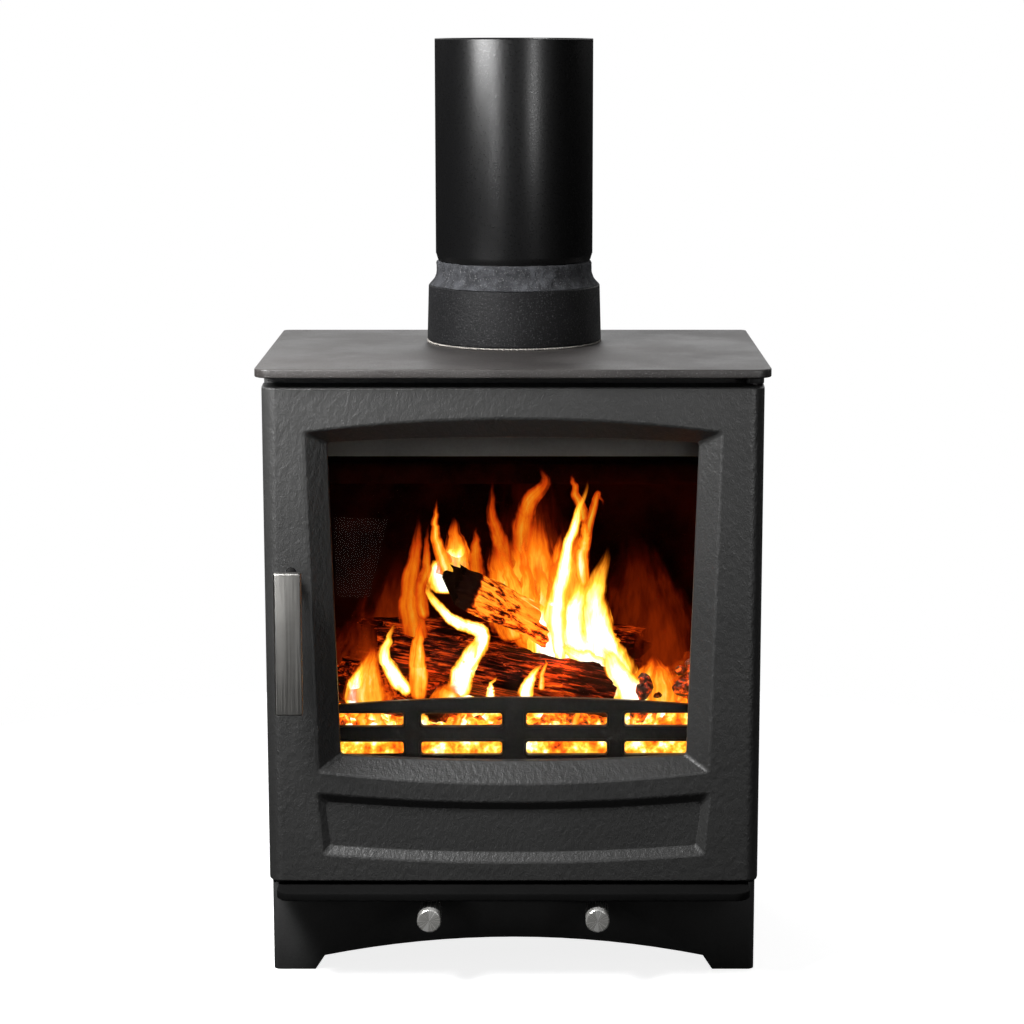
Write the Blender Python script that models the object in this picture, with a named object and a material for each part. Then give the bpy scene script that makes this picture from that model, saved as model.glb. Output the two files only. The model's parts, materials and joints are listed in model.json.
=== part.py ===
"""Multi-fuel stove on a plinth, with its stub of flue pipe.

Metres, +Z up.  The floor is z = 0, x = 0 is the middle of the stove, and the door faces -Y.
y = 0 is halfway between the front of the door handle and the back edge of the top plate.
"""
import math

import bmesh
import bpy
from mathutils import Vector

# Clearances
GAP = 0.0003            # between faces that touch or are welded
RUN = 0.0004            # around a pin or a rod that turns or slides
MERGE = 0.000005        # points nearer than this are one
PAST = 0.010            # how far a cutter runs past the face that it cuts
PAST_NEAR = 0.002       # the same where it may not go so far

# Body
BODY_W = 0.460
PANEL_T = 0.005         # side, back and floor plates
FRAME_T = 0.006         # front frame
FRAME_EDGE_R = 0.004    # its front upright edges
FRAME_STILE = 0.051     # beside the opening in the front frame
OPEN_TOP_RAIL = 0.025   # from the door's top edge down to the opening
OPEN_R = 0.006          # its corners
FLOOR_T = 0.005

# Top plate
PLATE_OVERHANG = 0.005  # beyond the body's sides
PLATE_D = 0.318
PLATE_T = 0.008
PLATE_R = 0.015         # front corners, in plan
PLATE_BACK_R = 0.006    # back corners, in plan
PLATE_TAIL = 0.018      # what stands out behind the back panel

# Plinth and lip
PLINTH_H = 0.0872
PLINTH_T = 0.004
PLINTH_R = 0.006        # outer radius of its folded corners
LEG_W = 0.040           # foot of a leg
LEG_SLANT = 0.009       # how much wider the leg is where the arch starts
LEG_H = 0.0138          # height where the arch starts
ARCH_RISE = 0.0184
SIDE_ARCH_RISE = 0.012
LIP_INSET = 0.0085      # inside the body's sides
LIP_T = 0.008
LIP_REACH = 0.024       # in front of the door
LIP_R = 0.015

# Door, as wide as the body
DOOR_H = 0.468
DOOR_D = 0.034
DOOR_R = 0.014          # its upright edges, in plan
DOOR_SOFTEN = 0.002     # its top and bottom front edges
DOOR_HEEL = 0.004       # bevel on the back edge beside the hinge
DOOR_SETBACK = 0.012    # its face behind the plate's front edge
DOOR_LIFT = 0.0035      # its foot above the lip
DOOR_HEADROOM = 0.010   # its head below the plate
SEAL_GAP = 0.002        # between the door and the front frame

# Window in the door: the outer edge of the bevel and its inner edge
WIN_HEAD = 0.041        # from the door's top edge down to the outer corner
WIN_BOT = 0.1065        # above the door's foot
WIN_STILE_TOP = 0.039   # from the door's side edge to the window
WIN_STILE_BOT = 0.048
WIN_RISE = 0.0125
WIN_BELLY = 0.011
BEVEL_SIDE = 0.020      # width of the bevel at the sides
BEVEL_TOP = 0.0120      # at the top corners
BEVEL_BOT = 0.0120      # at the bottom corners
BEVEL_D = 0.016         # how deep the bevel goes
WIN_RISE_IN = 0.0050
WIN_BELLY_IN = 0.0055
WIN_R = 0.006
GLASS_SEAT_D = 0.022    # from the door's face back to the seat of the glass

# Lower panel in the door
LOW_TOP = 0.0864
LOW_BOT = 0.0265
LOW_STILE_TOP = 0.046
LOW_STILE_BOT = 0.0515
LOW_SAG = 0.0092        # sag of its head, and belly of its foot
LOW_BELLY = 0.0078
LOW_SAG_IN = 0.0078     # the same inside the bevel
LOW_BELLY_IN = 0.0069
LOW_BEVEL = 0.0075      # width of the bevel at the sides and foot
LOW_BEVEL_TOP = 0.0095
LOW_DEPTH = 0.006
LOW_R = 0.004

# Hollows behind the door's face
SKIN = 0.008            # casting thickness behind the lower panel
SIDE_SKIN = 0.014       # casting thickness in front of the side hollows
HOLLOW_RIB = 0.006      # rib between two hollows
POCKET_STILE = 0.048    # from the door's side edge to the glass's pocket
POCKET_RIM = 0.004      # wall between the pocket and the rope channel
ROPE_CH = 0.0094        # width of the rope channel
ROPE_CH_D = 0.008
ROPE_SLACK = 0.0003     # the rope is this much narrower on each side
ROPE_R = 0.014          # corner radius of the rope's path
ROPE_MARGIN = 0.0035    # from the door's foot to the channel
LAND_LOW = 0.0025       # from the channel to the opening, at the foot
LAND_HIGH = 0.0060      # and at the head
SIDE_HOLLOW_W = 0.010   # hollows along the upright edges
SIDE_HOLLOW_WALL = 0.007
SIDE_HOLLOW_END = 0.045
LATCH_HOLLOW_W = 0.0264
LATCH_WALL = 0.0016
LATCH_HOLLOW_H = 0.056
LATCH_HOLLOW_D = 0.020

# Glass
GLASS_T = 0.004
GLASS_LAP = 0.0085      # over the edge of the opening
GLASS_R = 0.004
GASKET_T = 0.002
GASKET_W = 0.006
CLAMP_T = 0.002         # bars that hold the glass: the leg over its edge
CLAMP_LAP = 0.004
CLAMP_END = 0.0345      # from the glass's side edge to the bar's end
CLAMP_SCREW_END = 0.025
SCREW_R = 0.002
SCREW_HEAD_R = 0.004
SCREW_HEAD_T = 0.002
SCREW_RIM_T = 0.0012    # straight side of the head, below its crown
SCREW_CROWN_R = 0.0024
SCREW_BITE = 0.004      # of a screw into what it holds

# Hinge
PIN_R = 0.004
PIN_INSET = 0.008       # from the door's upright edge to the pin's centre
PIN_FROM_BACK = 0.010   # from the door's back to the pin's centre
PIN_IN_DOOR = 0.012
TAB_TOP_T = 0.005
TAB_BOT_T = 0.0028
TAB_HALF = 0.009        # in front of the pin's centre
TAB_IN = 0.010          # towards the middle of the stove
TAB_R = 0.006
TAB_CLEAR = 0.0015      # between the upper tab and the door
PIN_HEAD_R = 0.006
PIN_HEAD_T = 0.002

# Handle
HANDLE_W = 0.025
HANDLE_L = 0.1325
HANDLE_T = 0.008
HANDLE_EDGE = 0.0012
HANDLE_R = 0.002
HANDLE_GAP = 0.036      # between the lever and the door's face
HANDLE_TOP = 0.008      # from the spindle's centre to the lever's end
SPINDLE_R = 0.0045
SPINDLE_INSET = 0.0255  # from the door's side edge
SPINDLE_UP = 0.2965     # above the door's foot
SPINDLE_TAIL = 0.0006   # out of the nut
SOCKET_D = 0.004        # of the spindle into the lever
BUSH_T = 0.0025
BUSH_SKIN = 0.002       # casting in front of the bush
CAM_T = 0.004
CAM_HUB_R = 0.0062
CAM_REACH = 0.0079
CAM_NOSE = 0.007        # width of its tip
CAM_INSET = 0.008       # from the hollow's floor to the cam
CAM_PLAY = 0.0006       # from the cam to the bush and to the keeper
NUT_R = 0.0058
NUT_T = 0.0035
KEEPER_GAP = 0.0006     # between the cam's tip and the keeper at rest
KEEPER_HEAD = 0.009
KEEPER_T = 0.0035
KEEPER_POST = 0.004
KEEPER_H = 0.014

# Flue
FLUE_FROM_BACK = 0.093  # the flue's axis in front of the plate's back edge
COLLAR_R_TOP = 0.0838
COLLAR_R_BOT = 0.0852
COLLAR_H = 0.054
COLLAR_WALL = 0.0072
COLLAR_LEDGE = 0.008
COLLAR_FOOT_H = 0.002   # straight foot, below the taper
COLLAR_EDGE = 0.0012    # bevel of its rim
SEAL_T = 0.0015
SEAL_LIP = 0.0003
PIPE_R = 0.0766
PIPE_T = 0.002
PIPE_TOP = 0.878
SPIGOT_R = 0.0738
NECK_Z = 0.0235         # height of the narrow neck above the collar
NECK_TAPER = 0.007
CEMENT_DEEP = 0.015
CEMENT_FOOT_R = 0.0828
CEMENT_SKIN = 0.0017
CEMENT_COVE = 0.0130    # height of the hollow fillet at its foot
CEMENT_EDGE = 0.002
HOLE_R = 0.070          # in the top plate

# Firebox
BRICK_T = 0.025
BRICK_H = 0.265
BRICK_FRONT = 0.046     # of the side bricks, behind the front frame
THROAT_T = 0.020
THROAT_D = 0.145
THROAT_PLAY = 0.002
DUCT_DROP = 0.0462      # the duct's underside below the opening's top edge
DUCT_T = 0.002
DUCT_D = 0.040
DUCT_OFFSET = 0.004     # slot between the front frame and the duct
RISER_W = 0.022
RISER_D = 0.024
RISER_T = 0.002
RISER_INSET = 0.003     # from the side panel

# Grate and ash pan
GRATE_RISE = 0.0716     # underside of the grate above the floor plate
GRATE_T = 0.013
GRATE_D = 0.208
GRATE_SETBACK = 0.006   # behind the front frame
GRATE_RIM = 0.014       # beside its slots
LEDGE_W = 0.040
LEDGE_T = 0.005
LEDGE_DROP = 0.014
RIDDLE_W = 0.178
RIDDLE_D = 0.127
RIDDLE_T = 0.0075
RIDDLE_TRAVEL = 0.011
RIDDLE_BACK = 0.028     # from the grate's back edge to the riddle's well
RIDDLE_LEDGE = 0.009
RIDDLE_RIM = 0.008      # at its ends
RIDDLE_SIDE = 0.014     # beside its slots
RIDDLE_RIB = 0.012      # along its middle
TONGUE_W = 0.024
TONGUE_OUT = 0.002
SLOT_W = 0.008
SLOT_PITCH = 0.018
SLOT_FRONT = 0.045      # from the grate's front edge to its first slot
SLOT_REAR = 0.015
PAN_INSET = 0.080       # inside the body's sides
PAN_D = 0.174
PAN_H = 0.056
PAN_T = 0.0015
PAN_TAB_W = 0.080
PAN_TAB_D = 0.011
PAN_TAB_T = 0.002
PAN_TAB_DROP = 0.008    # below the pan's rim
PAN_SETBACK = 0.0155    # behind the front frame

# Log retainer
FRET_PLAY = 0.002       # inside the frame's opening
FRET_H = 0.0565
FRET_ARCH = 0.0080
FRET_T = 0.008
FRET_SETBACK = 0.012
FRET_SLOT_H = 0.0124
FRET_ROW_LOW = 0.0094   # foot of the lower row above the grate
FRET_ROW_HIGH = 0.0370
FRET_MID_POST = 0.023
FRET_POST = 0.017
FRET_SLOT_W = 0.0762
FRET_SIDE = 0.0103      # beside the outer slots
FRET_SLOT_R = 0.003

# Air controls
ROD_R = 0.004
ROD_Z = 0.0700
ROD_X = 0.0785
KNOB_R = 0.0112
KNOB_L = 0.038
KNOB_BORE_L = 0.014
KNOB_CHAMFER = 0.0010
KNOB_CONE = 0.0008
KNOB_STANDOFF = 0.027   # between the knob and the plinth when pulled out
CONTROL_TRAVEL = 0.024
SHUTTER_T = 0.003
TAB_T = 0.003
TAB_HALF_W = 0.008
TAB_BELOW = 0.006       # below the rod's axis
PRIMARY_W = 0.092
PRIMARY_D = 0.040
PRIMARY_SLOT_W = 0.080
PRIMARY_SLOT_D = 0.012
PRIMARY_REAR = 0.0375   # from the slot's back edge to the back panel's inside
PORT_MARGIN = 0.006
WASH_D = 0.044
WASH_PORT_W = 0.008
WASH_PORT_D = 0.014
WASH_FRONT = 0.002      # behind the front frame
GUIDE_T = 0.003
GUIDE_LEG = 0.0095
GUIDE_END = 0.006       # bar across the guide's far end

# Rear heat shield
SHIELD_INSET = 0.045    # inside the body's sides
SHIELD_FOOT = 0.018
SHIELD_T = 0.0015
SHIELD_STANDOFF = 0.012
SHIELD_Z0 = 0.120
SHIELD_H = 0.430

# Finishes: name, colour, roughness, metallic value and how clear it is
STOVE_PAINT = ("stove_paint", (0.055, 0.053, 0.052), 0.62, 0.25, 0.0)
PLATE_PAINT = ("plate_paint", (0.13, 0.125, 0.12), 0.58, 0.25, 0.0)
CAST_PAINT = ("cast_paint", (0.050, 0.049, 0.048), 0.60, 0.30, 0.0)
RAW_CAST = ("raw_cast", (0.020, 0.020, 0.021), 0.66, 0.45, 0.0)
DARK_STEEL = ("dark_steel", (0.035, 0.034, 0.033), 0.50, 0.70, 0.0)
BRUSHED_STEEL = ("brushed_steel", (0.48, 0.47, 0.45), 0.34, 1.0, 0.0)
FLUE_BLACK = ("flue_black", (0.012, 0.012, 0.012), 0.38, 0.0, 0.0)
FIRE_CEMENT = ("fire_cement", (0.085, 0.075, 0.068), 0.95, 0.0, 0.0)
ROPE_SEAL = ("rope_seal", (0.52, 0.48, 0.40), 0.95, 0.0, 0.0)
FIREBRICK = ("firebrick", (0.36, 0.27, 0.17), 0.95, 0.0, 0.0)
STOVE_GLASS = ("stove_glass", (0.90, 0.86, 0.80), 0.04, 0.0, 0.9)

# Widths that follow from the body's
PLATE_W = BODY_W + 2 * PLATE_OVERHANG
DOOR_W = BODY_W
OPEN_W = BODY_W - 2 * FRAME_STILE
LIP_W = BODY_W - 2 * LIP_INSET
WIN_HALF_TOP = DOOR_W / 2 - WIN_STILE_TOP
WIN_HALF_BOT = DOOR_W / 2 - WIN_STILE_BOT
LOW_HALF_TOP = DOOR_W / 2 - LOW_STILE_TOP
LOW_HALF_BOT = DOOR_W / 2 - LOW_STILE_BOT
POCKET_HALF = DOOR_W / 2 - POCKET_STILE
SIDE_HOLLOW_OUT = DOOR_W / 2 - SIDE_HOLLOW_WALL
SIDE_HOLLOW_IN = SIDE_HOLLOW_OUT - SIDE_HOLLOW_W
GLASS_HALF = WIN_HALF_TOP - BEVEL_SIDE + GLASS_LAP
CLAMP_L = 2 * (GLASS_HALF - CLAMP_END)
CLAMP_SCREW_X = CLAMP_L / 2 - CLAMP_SCREW_END
SPINDLE_X = -(DOOR_W / 2 - SPINDLE_INSET)
PAN_W = BODY_W - 2 * PAN_INSET
FRET_W = OPEN_W - 2 * FRET_PLAY
SHIELD_W = BODY_W - 2 * SHIELD_INSET

# Places that follow from the sizes
WIN_TOP = DOOR_H - WIN_HEAD
HANDLE_REACH = HANDLE_GAP + HANDLE_T - DOOR_SETBACK
Y_PLATE = -(PLATE_D - HANDLE_REACH) / 2
Y_DOOR = Y_PLATE + DOOR_SETBACK
Y_DOOR_BACK = Y_DOOR + DOOR_D
Y_FRAME = Y_DOOR_BACK + SEAL_GAP
Y_FRAME_BACK = Y_FRAME + FRAME_T
Y_PLATE_BACK = Y_PLATE + PLATE_D
Y_BACK = Y_PLATE_BACK - PLATE_TAIL
Y_BACK_IN = Y_BACK - PANEL_T
Y_LIP = Y_DOOR - LIP_REACH
Y_LIP_BACK = Y_FRAME_BACK
Y_FLUE = Y_PLATE_BACK - FLUE_FROM_BACK
Z_LIP = PLINTH_H + GAP
Z_LIP_TOP = Z_LIP + LIP_T
Z_DOOR = Z_LIP_TOP + DOOR_LIFT
Z_DOOR_TOP = Z_DOOR + DOOR_H
Z_PLATE = Z_DOOR_TOP + DOOR_HEADROOM
Z_PLATE_TOP = Z_PLATE + PLATE_T
Z_OPEN_TOP = Z_DOOR_TOP - OPEN_TOP_RAIL
X_SIDE_IN = BODY_W / 2 - PANEL_T
ROPE_IN = POCKET_HALF + POCKET_RIM
ROPE_OUT = ROPE_IN + ROPE_CH
Z_ROPE_LOW = Z_DOOR + ROPE_MARGIN
Z_OPEN = Z_ROPE_LOW + ROPE_CH + LAND_LOW
Z_ROPE_HIGH = Z_OPEN_TOP + ROPE_CH + LAND_HIGH
Z_FLOOR_TOP = Z_OPEN
Z_FLOOR = Z_FLOOR_TOP - FLOOR_T
Z_GRATE = Z_FLOOR_TOP + GRATE_RISE
Z_GRATE_TOP = Z_GRATE + GRATE_T
Y_GRATE = Y_FRAME_BACK + GRATE_SETBACK
Y_GRATE_BACK = Y_GRATE + GRATE_D
Y_BRICK = Y_FRAME_BACK + BRICK_FRONT
X_BRICK_IN = X_SIDE_IN - GAP - BRICK_T
Z_BRICK_TOP = Z_GRATE + BRICK_H
Z_DUCT = Z_OPEN_TOP - DUCT_DROP
Y_DUCT = Y_FRAME_BACK + DUCT_OFFSET
X_PIN = DOOR_W / 2 - PIN_INSET
Y_PIN = Y_DOOR_BACK - PIN_FROM_BACK
Z_SPINDLE = Z_DOOR + SPINDLE_UP
Z_SHUTTER_TOP = Z_FLOOR - RUN
Z_SHUTTER = Z_SHUTTER_TOP - SHUTTER_T
Y_HANDLE = Y_DOOR - HANDLE_GAP - HANDLE_T
Y_KNOB = Y_FRAME - KNOB_STANDOFF - KNOB_L


def clear_scene():
    for item in list(bpy.data.objects):
        bpy.data.objects.remove(item, do_unlink=True)


def dressed(name, coat):
    """A material of the object's own: painted, metal, mineral or glass."""
    word, colour, roughness, metallic, clear = coat
    made = bpy.data.materials.new(f"{name}_{word}")
    made.use_nodes = True
    made.diffuse_color = (*colour, 1.0 - clear)
    shader = made.node_tree.nodes["Principled BSDF"]
    shader.inputs["Base Color"].default_value = (*colour, 1.0)
    shader.inputs["Roughness"].default_value = roughness
    shader.inputs["Metallic"].default_value = metallic
    shader.inputs["Transmission Weight"].default_value = clear
    return made


def mesh_object(name, bm, coat=None, smooth=0.0, pivot=None, parent=None):
    """Turns a bmesh into a named object, with its origin at the pivot."""
    bmesh.ops.remove_doubles(bm, verts=bm.verts, dist=MERGE)
    bmesh.ops.recalc_face_normals(bm, faces=bm.faces)
    home = Vector(pivot) if pivot else Vector((0.0, 0.0, 0.0))
    if pivot:
        bmesh.ops.translate(bm, verts=bm.verts, vec=-home)
    mesh = bpy.data.meshes.new(name)
    bm.to_mesh(mesh)
    bm.free()
    item = bpy.data.objects.new(name, mesh)
    bpy.context.collection.objects.link(item)
    if coat:
        mesh.materials.append(dressed(name, coat))
    item.location = home
    if smooth:
        mesh.shade_smooth()
        mesh.set_sharp_from_angle(angle=math.radians(smooth))
    if parent:
        item.parent = parent
        item.location = home - parent.location
    return item


def cutter(name, bm):
    """A hidden shape that a Boolean takes away from another."""
    item = mesh_object(name, bm)
    item.hide_render = True
    item.display_type = "WIRE"
    return item


def cut(item, tool):
    """Takes the tool's shape away from the item."""
    step = item.modifiers.new("cut_" + tool.name, "BOOLEAN")
    step.operation = "DIFFERENCE"
    step.solver = "EXACT"
    step.object = tool


def join(item, tool):
    """Adds the tool's shape to the item."""
    step = item.modifiers.new("join_" + tool.name, "BOOLEAN")
    step.operation = "UNION"
    step.solver = "EXACT"
    step.object = tool


def pivot_empty(name, place):
    """An empty on a joint's axis, which the moving pieces hang from."""
    item = bpy.data.objects.new(name, None)
    bpy.context.collection.objects.link(item)
    item.location = Vector(place)
    return item


def add_box(bm, x0, x1, y0, y1, z0, z1):
    made = bmesh.ops.create_cube(bm, size=1.0)["verts"]
    bmesh.ops.scale(bm, verts=made, vec=(x1 - x0, y1 - y0, z1 - z0))
    bmesh.ops.translate(bm, verts=made, vec=((x0 + x1) / 2, (y0 + y1) / 2, (z0 + z1) / 2))
    return made


def box_mesh(x0, x1, y0, y1, z0, z1):
    bm = bmesh.new()
    add_box(bm, x0, x1, y0, y1, z0, z1)
    return bm


def bevel_edges(bm, chosen, width, segments):
    edges = [edge for edge in bm.edges if chosen(edge)]
    bmesh.ops.bevel(bm, geom=edges, offset=width, segments=segments, profile=0.5,
                    affect="EDGES", clamp_overlap=True)


def runs_along(edge, axis):
    direction = (edge.verts[1].co - edge.verts[0].co).normalized()
    return abs(direction[axis]) > 0.999


def place(point, axis, level):
    """A 2-D outline point set on a plane square to the axis."""
    a, b = point
    if axis == 0:
        return Vector((level, a, b))
    if axis == 1:
        return Vector((a, level, b))
    return Vector((a, b, level))


def loft(bm, rings):
    """Closed skin through rings of as many points each, with its ends filled."""
    made = [[bm.verts.new(point) for point in ring] for ring in rings]
    count = len(made[0])
    for low, high in zip(made, made[1:]):
        for i in range(count):
            j = (i + 1) % count
            bm.faces.new((low[i], low[j], high[j], high[i]))
    bm.faces.new(made[0])
    bm.faces.new(list(reversed(made[-1])))
    return made


def prism(outline, axis, lo, hi):
    """Extrudes a flat outline along an axis."""
    bm = bmesh.new()
    loft(bm, [[place(p, axis, lo) for p in outline], [place(p, axis, hi) for p in outline]])
    return bm


def arc(cx, cy, radius, start, end, steps):
    """Points on an arc, angles in degrees."""
    return [(cx + radius * math.cos(math.radians(start + (end - start) * i / steps)),
             cy + radius * math.sin(math.radians(start + (end - start) * i / steps)))
            for i in range(steps + 1)]


def circle(cx, cy, radius, steps):
    return arc(cx, cy, radius, 0, 360, steps)[:-1]


def rounded(outline, radii, steps=4):
    """Rounds the corners of a closed outline that have a radius in radii."""
    result = []
    count = len(outline)
    for i, corner in enumerate(outline):
        radius = radii.get(i, 0.0)
        here = Vector(corner)
        if radius <= 0.0:
            result.append(tuple(here))
            continue
        before = (Vector(outline[i - 1]) - here).normalized()
        after = (Vector(outline[(i + 1) % count]) - here).normalized()
        half = before.angle(after) / 2
        reach = radius / math.tan(half)
        centre = here + (before + after).normalized() * radius / math.sin(half)
        first = here + before * reach - centre
        last = here + after * reach - centre
        turn = first.angle_signed(last)
        for k in range(steps + 1):
            angle = -turn * k / steps
            c, s = math.cos(angle), math.sin(angle)
            result.append((centre.x + first.x * c - first.y * s,
                           centre.y + first.x * s + first.y * c))
    return result


def rounded_rect(x0, x1, y0, y1, radius, steps=4):
    corners = [(x0, y0), (x1, y0), (x1, y1), (x0, y1)]
    return rounded(corners, {i: radius for i in range(4)}, steps)


def turned(profile, centre, axis, steps, bm=None):
    """Spins a profile of (radius, height) points round an axis through the centre."""
    bm = bm or bmesh.new()
    centre = Vector(centre)
    along = Vector((0, 0, 0))
    along[axis] = 1.0
    side = Vector((1, 0, 0)) if axis != 0 else Vector((0, 1, 0))
    verts = [bm.verts.new(centre + side * r + along * h) for r, h in profile]
    edges = [bm.edges.new((verts[i], verts[i + 1])) for i in range(len(verts) - 1)]
    if profile[0][0] > 0.0:
        edges.append(bm.edges.new((verts[-1], verts[0])))
    bmesh.ops.spin(bm, geom=verts + edges, cent=centre, axis=along, dvec=(0, 0, 0),
                   angle=2 * math.pi, steps=steps, use_merge=True)
    bmesh.ops.remove_doubles(bm, verts=bm.verts, dist=MERGE)
    return bm


def add_rod(bm, radius, centre, axis, lo, hi, steps=24):
    """A plain round bar from lo to hi along an axis."""
    return turned([(0.0, lo), (radius, lo), (radius, hi), (0.0, hi)], centre, axis, steps, bm)


def rod_mesh(radius, centre, axis, lo, hi, steps=24):
    return add_rod(bmesh.new(), radius, centre, axis, lo, hi, steps)


def bowed_quad(half_top, half_bot, z_top, z_bot, rise, belly, radius, steps=12):
    """Outline with slanting sides, an arched head and a bellied foot."""
    top = [(-half_top + 2 * half_top * i / steps,
            z_top + rise * (1 - (2 * i / steps - 1) ** 2)) for i in range(steps + 1)]
    low = [(half_bot - 2 * half_bot * i / steps,
            z_bot - belly * (1 - (2 * i / steps - 1) ** 2)) for i in range(steps + 1)]
    corners = {0: radius, steps: radius, steps + 1: radius, 2 * steps + 1: radius}
    return rounded(top + low, corners, 3)


def make_plinth():
    half = BODY_W / 2
    y_rear = Y_BACK - PLINTH_T - GAP
    outer_r = {1: PLINTH_R, 2: PLINTH_R}
    inner_r = PLINTH_R - PLINTH_T
    outline = [(-half, y_rear), (-half, Y_FRAME), (half, Y_FRAME), (half, y_rear),
               (half - PLINTH_T, y_rear), (half - PLINTH_T, Y_FRAME + PLINTH_T),
               (-half + PLINTH_T, Y_FRAME + PLINTH_T), (-half + PLINTH_T, y_rear)]
    plan = rounded(outline, {**outer_r, 5: inner_r, 6: inner_r}, 4)
    plinth = mesh_object("plinth", prism(plan, 2, 0.0, PLINTH_H), STOVE_PAINT, smooth=30)
    cut(plinth, arch_cutter("front_arch", 1, half, Y_FRAME - PAST, Y_FRAME + 2 * PAST, 0.0, ARCH_RISE))
    depth = (y_rear - Y_FRAME) / 2
    cut(plinth, arch_cutter("side_arch", 0, depth, -half - PAST, half + PAST,
                            (y_rear + Y_FRAME) / 2, SIDE_ARCH_RISE))
    for side in (-1, 1):
        hole = rod_mesh(ROD_R + RUN, (side * ROD_X, 0, ROD_Z), 1, Y_FRAME - PAST, Y_FRAME + 2 * PAST)
        cut(plinth, cutter(f"rod_hole_{side}", hole))
    return plinth


def arch_outline(half, middle, rise):
    """The gap between two legs, from below the floor up to the arch."""
    foot = half - LEG_W
    shoulder = foot - LEG_SLANT
    steps = 16
    points = [(middle - foot, -PAST), (middle - foot, 0.0), (middle - shoulder, LEG_H)]
    for i in range(1, steps):
        t = 2 * i / steps - 1
        points.append((middle + shoulder * t, LEG_H + rise * (1 - t * t)))
    points += [(middle + shoulder, LEG_H), (middle + foot, 0.0), (middle + foot, -PAST)]
    return points


def arch_cutter(name, axis, half, lo, hi, middle, rise):
    return cutter(name, prism(arch_outline(half, middle, rise), axis, lo, hi))


def make_plinth_back():
    half = BODY_W / 2
    back = mesh_object("plinth_back", box_mesh(-half, half, Y_BACK - PLINTH_T, Y_BACK, 0.0, PLINTH_H),
                       STOVE_PAINT)
    cut(back, arch_cutter("back_arch", 1, half, Y_BACK - 2 * PAST, Y_BACK + PAST, 0.0, ARCH_RISE))
    return back


def make_ash_lip():
    half = LIP_W / 2
    plan = rounded([(-half, Y_LIP), (half, Y_LIP), (half, Y_LIP_BACK), (-half, Y_LIP_BACK)],
                   {0: LIP_R, 1: LIP_R}, 6)
    return mesh_object("ash_lip", prism(plan, 2, Z_LIP, Z_LIP_TOP), STOVE_PAINT, smooth=30)


def make_side_panels():
    for name, side in (("left_side_panel", -1), ("right_side_panel", 1)):
        inner, outer = side * X_SIDE_IN, side * BODY_W / 2
        mesh_object(name, box_mesh(min(inner, outer), max(inner, outer), Y_FRAME_BACK + GAP, Y_BACK,
                                   PLINTH_H + GAP, Z_PLATE - GAP), STOVE_PAINT)


def make_back_panel():
    half = X_SIDE_IN - GAP
    mesh_object("back_panel", box_mesh(-half, half, Y_BACK_IN, Y_BACK, PLINTH_H + GAP, Z_PLATE - GAP),
                STOVE_PAINT)


def make_floor():
    half = X_SIDE_IN - GAP
    floor = mesh_object("firebox_floor", box_mesh(-half, half, Y_FRAME_BACK + GAP, Y_BACK_IN - GAP,
                                                  Z_FLOOR, Z_FLOOR_TOP), STOVE_PAINT)
    slot = box_mesh(-ROD_X - PRIMARY_SLOT_W / 2, -ROD_X + PRIMARY_SLOT_W / 2, primary_slot()[0],
                    primary_slot()[1], Z_FLOOR - PAST, Z_FLOOR_TOP + PAST)
    cut(floor, cutter("primary_slot", slot))
    for side in (-1, 1):
        cut(floor, cutter(f"floor_port_{side}", wash_port(side, Z_FLOOR - PAST, Z_FLOOR_TOP + PAST)))
    return floor


def primary_slot():
    """Front and back edge of the primary air slot."""
    back = Y_BACK_IN - PRIMARY_REAR
    return back - PRIMARY_SLOT_D, back


def riser_box(side):
    """Outer corners of an airwash riser."""
    outer = X_SIDE_IN - RISER_INSET
    inner = outer - RISER_W
    lo, hi = (inner, outer) if side > 0 else (-outer, -inner)
    y_back = Y_DUCT + DUCT_D
    return lo, hi, y_back - RISER_D, y_back


def wash_port(side, z0, z1):
    """A port under or over a riser, at the riser's inner side."""
    x0, x1, y0, y1 = riser_box(side)
    inner = x0 + RISER_T if side > 0 else x1 - RISER_T - WASH_PORT_W
    middle = (y0 + y1) / 2
    return box_mesh(inner, inner + WASH_PORT_W, middle - WASH_PORT_D / 2, middle + WASH_PORT_D / 2, z0, z1)


def make_front_frame():
    half = BODY_W / 2
    bm = box_mesh(-half, half, Y_FRAME, Y_FRAME_BACK, Z_LIP_TOP + GAP, Z_PLATE - GAP)
    bevel_edges(bm, lambda e: runs_along(e, 2) and e.verts[0].co.y < Y_FRAME + GAP, FRAME_EDGE_R, 4)
    frame = mesh_object("front_frame", bm, STOVE_PAINT, smooth=30)
    opening = prism(rounded_rect(-OPEN_W / 2, OPEN_W / 2, Z_OPEN, Z_OPEN_TOP, OPEN_R, 3), 1,
                    Y_FRAME - PAST, Y_FRAME_BACK + PAST)
    cut(frame, cutter("frame_opening", opening))
    return frame


def make_top_plate():
    half = PLATE_W / 2
    outline = [(-half, Y_PLATE), (half, Y_PLATE), (half, Y_PLATE_BACK), (-half, Y_PLATE_BACK)]
    plan = rounded(outline, {0: PLATE_R, 1: PLATE_R, 2: PLATE_BACK_R, 3: PLATE_BACK_R}, 6)
    plate = mesh_object("top_plate", prism(plan, 2, Z_PLATE, Z_PLATE_TOP), PLATE_PAINT, smooth=30)
    hole = rod_mesh(HOLE_R, (0, Y_FLUE, 0), 2, Z_PLATE - PAST, Z_PLATE_TOP + PAST, 48)
    cut(plate, cutter("flue_hole", hole))
    return plate


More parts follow.
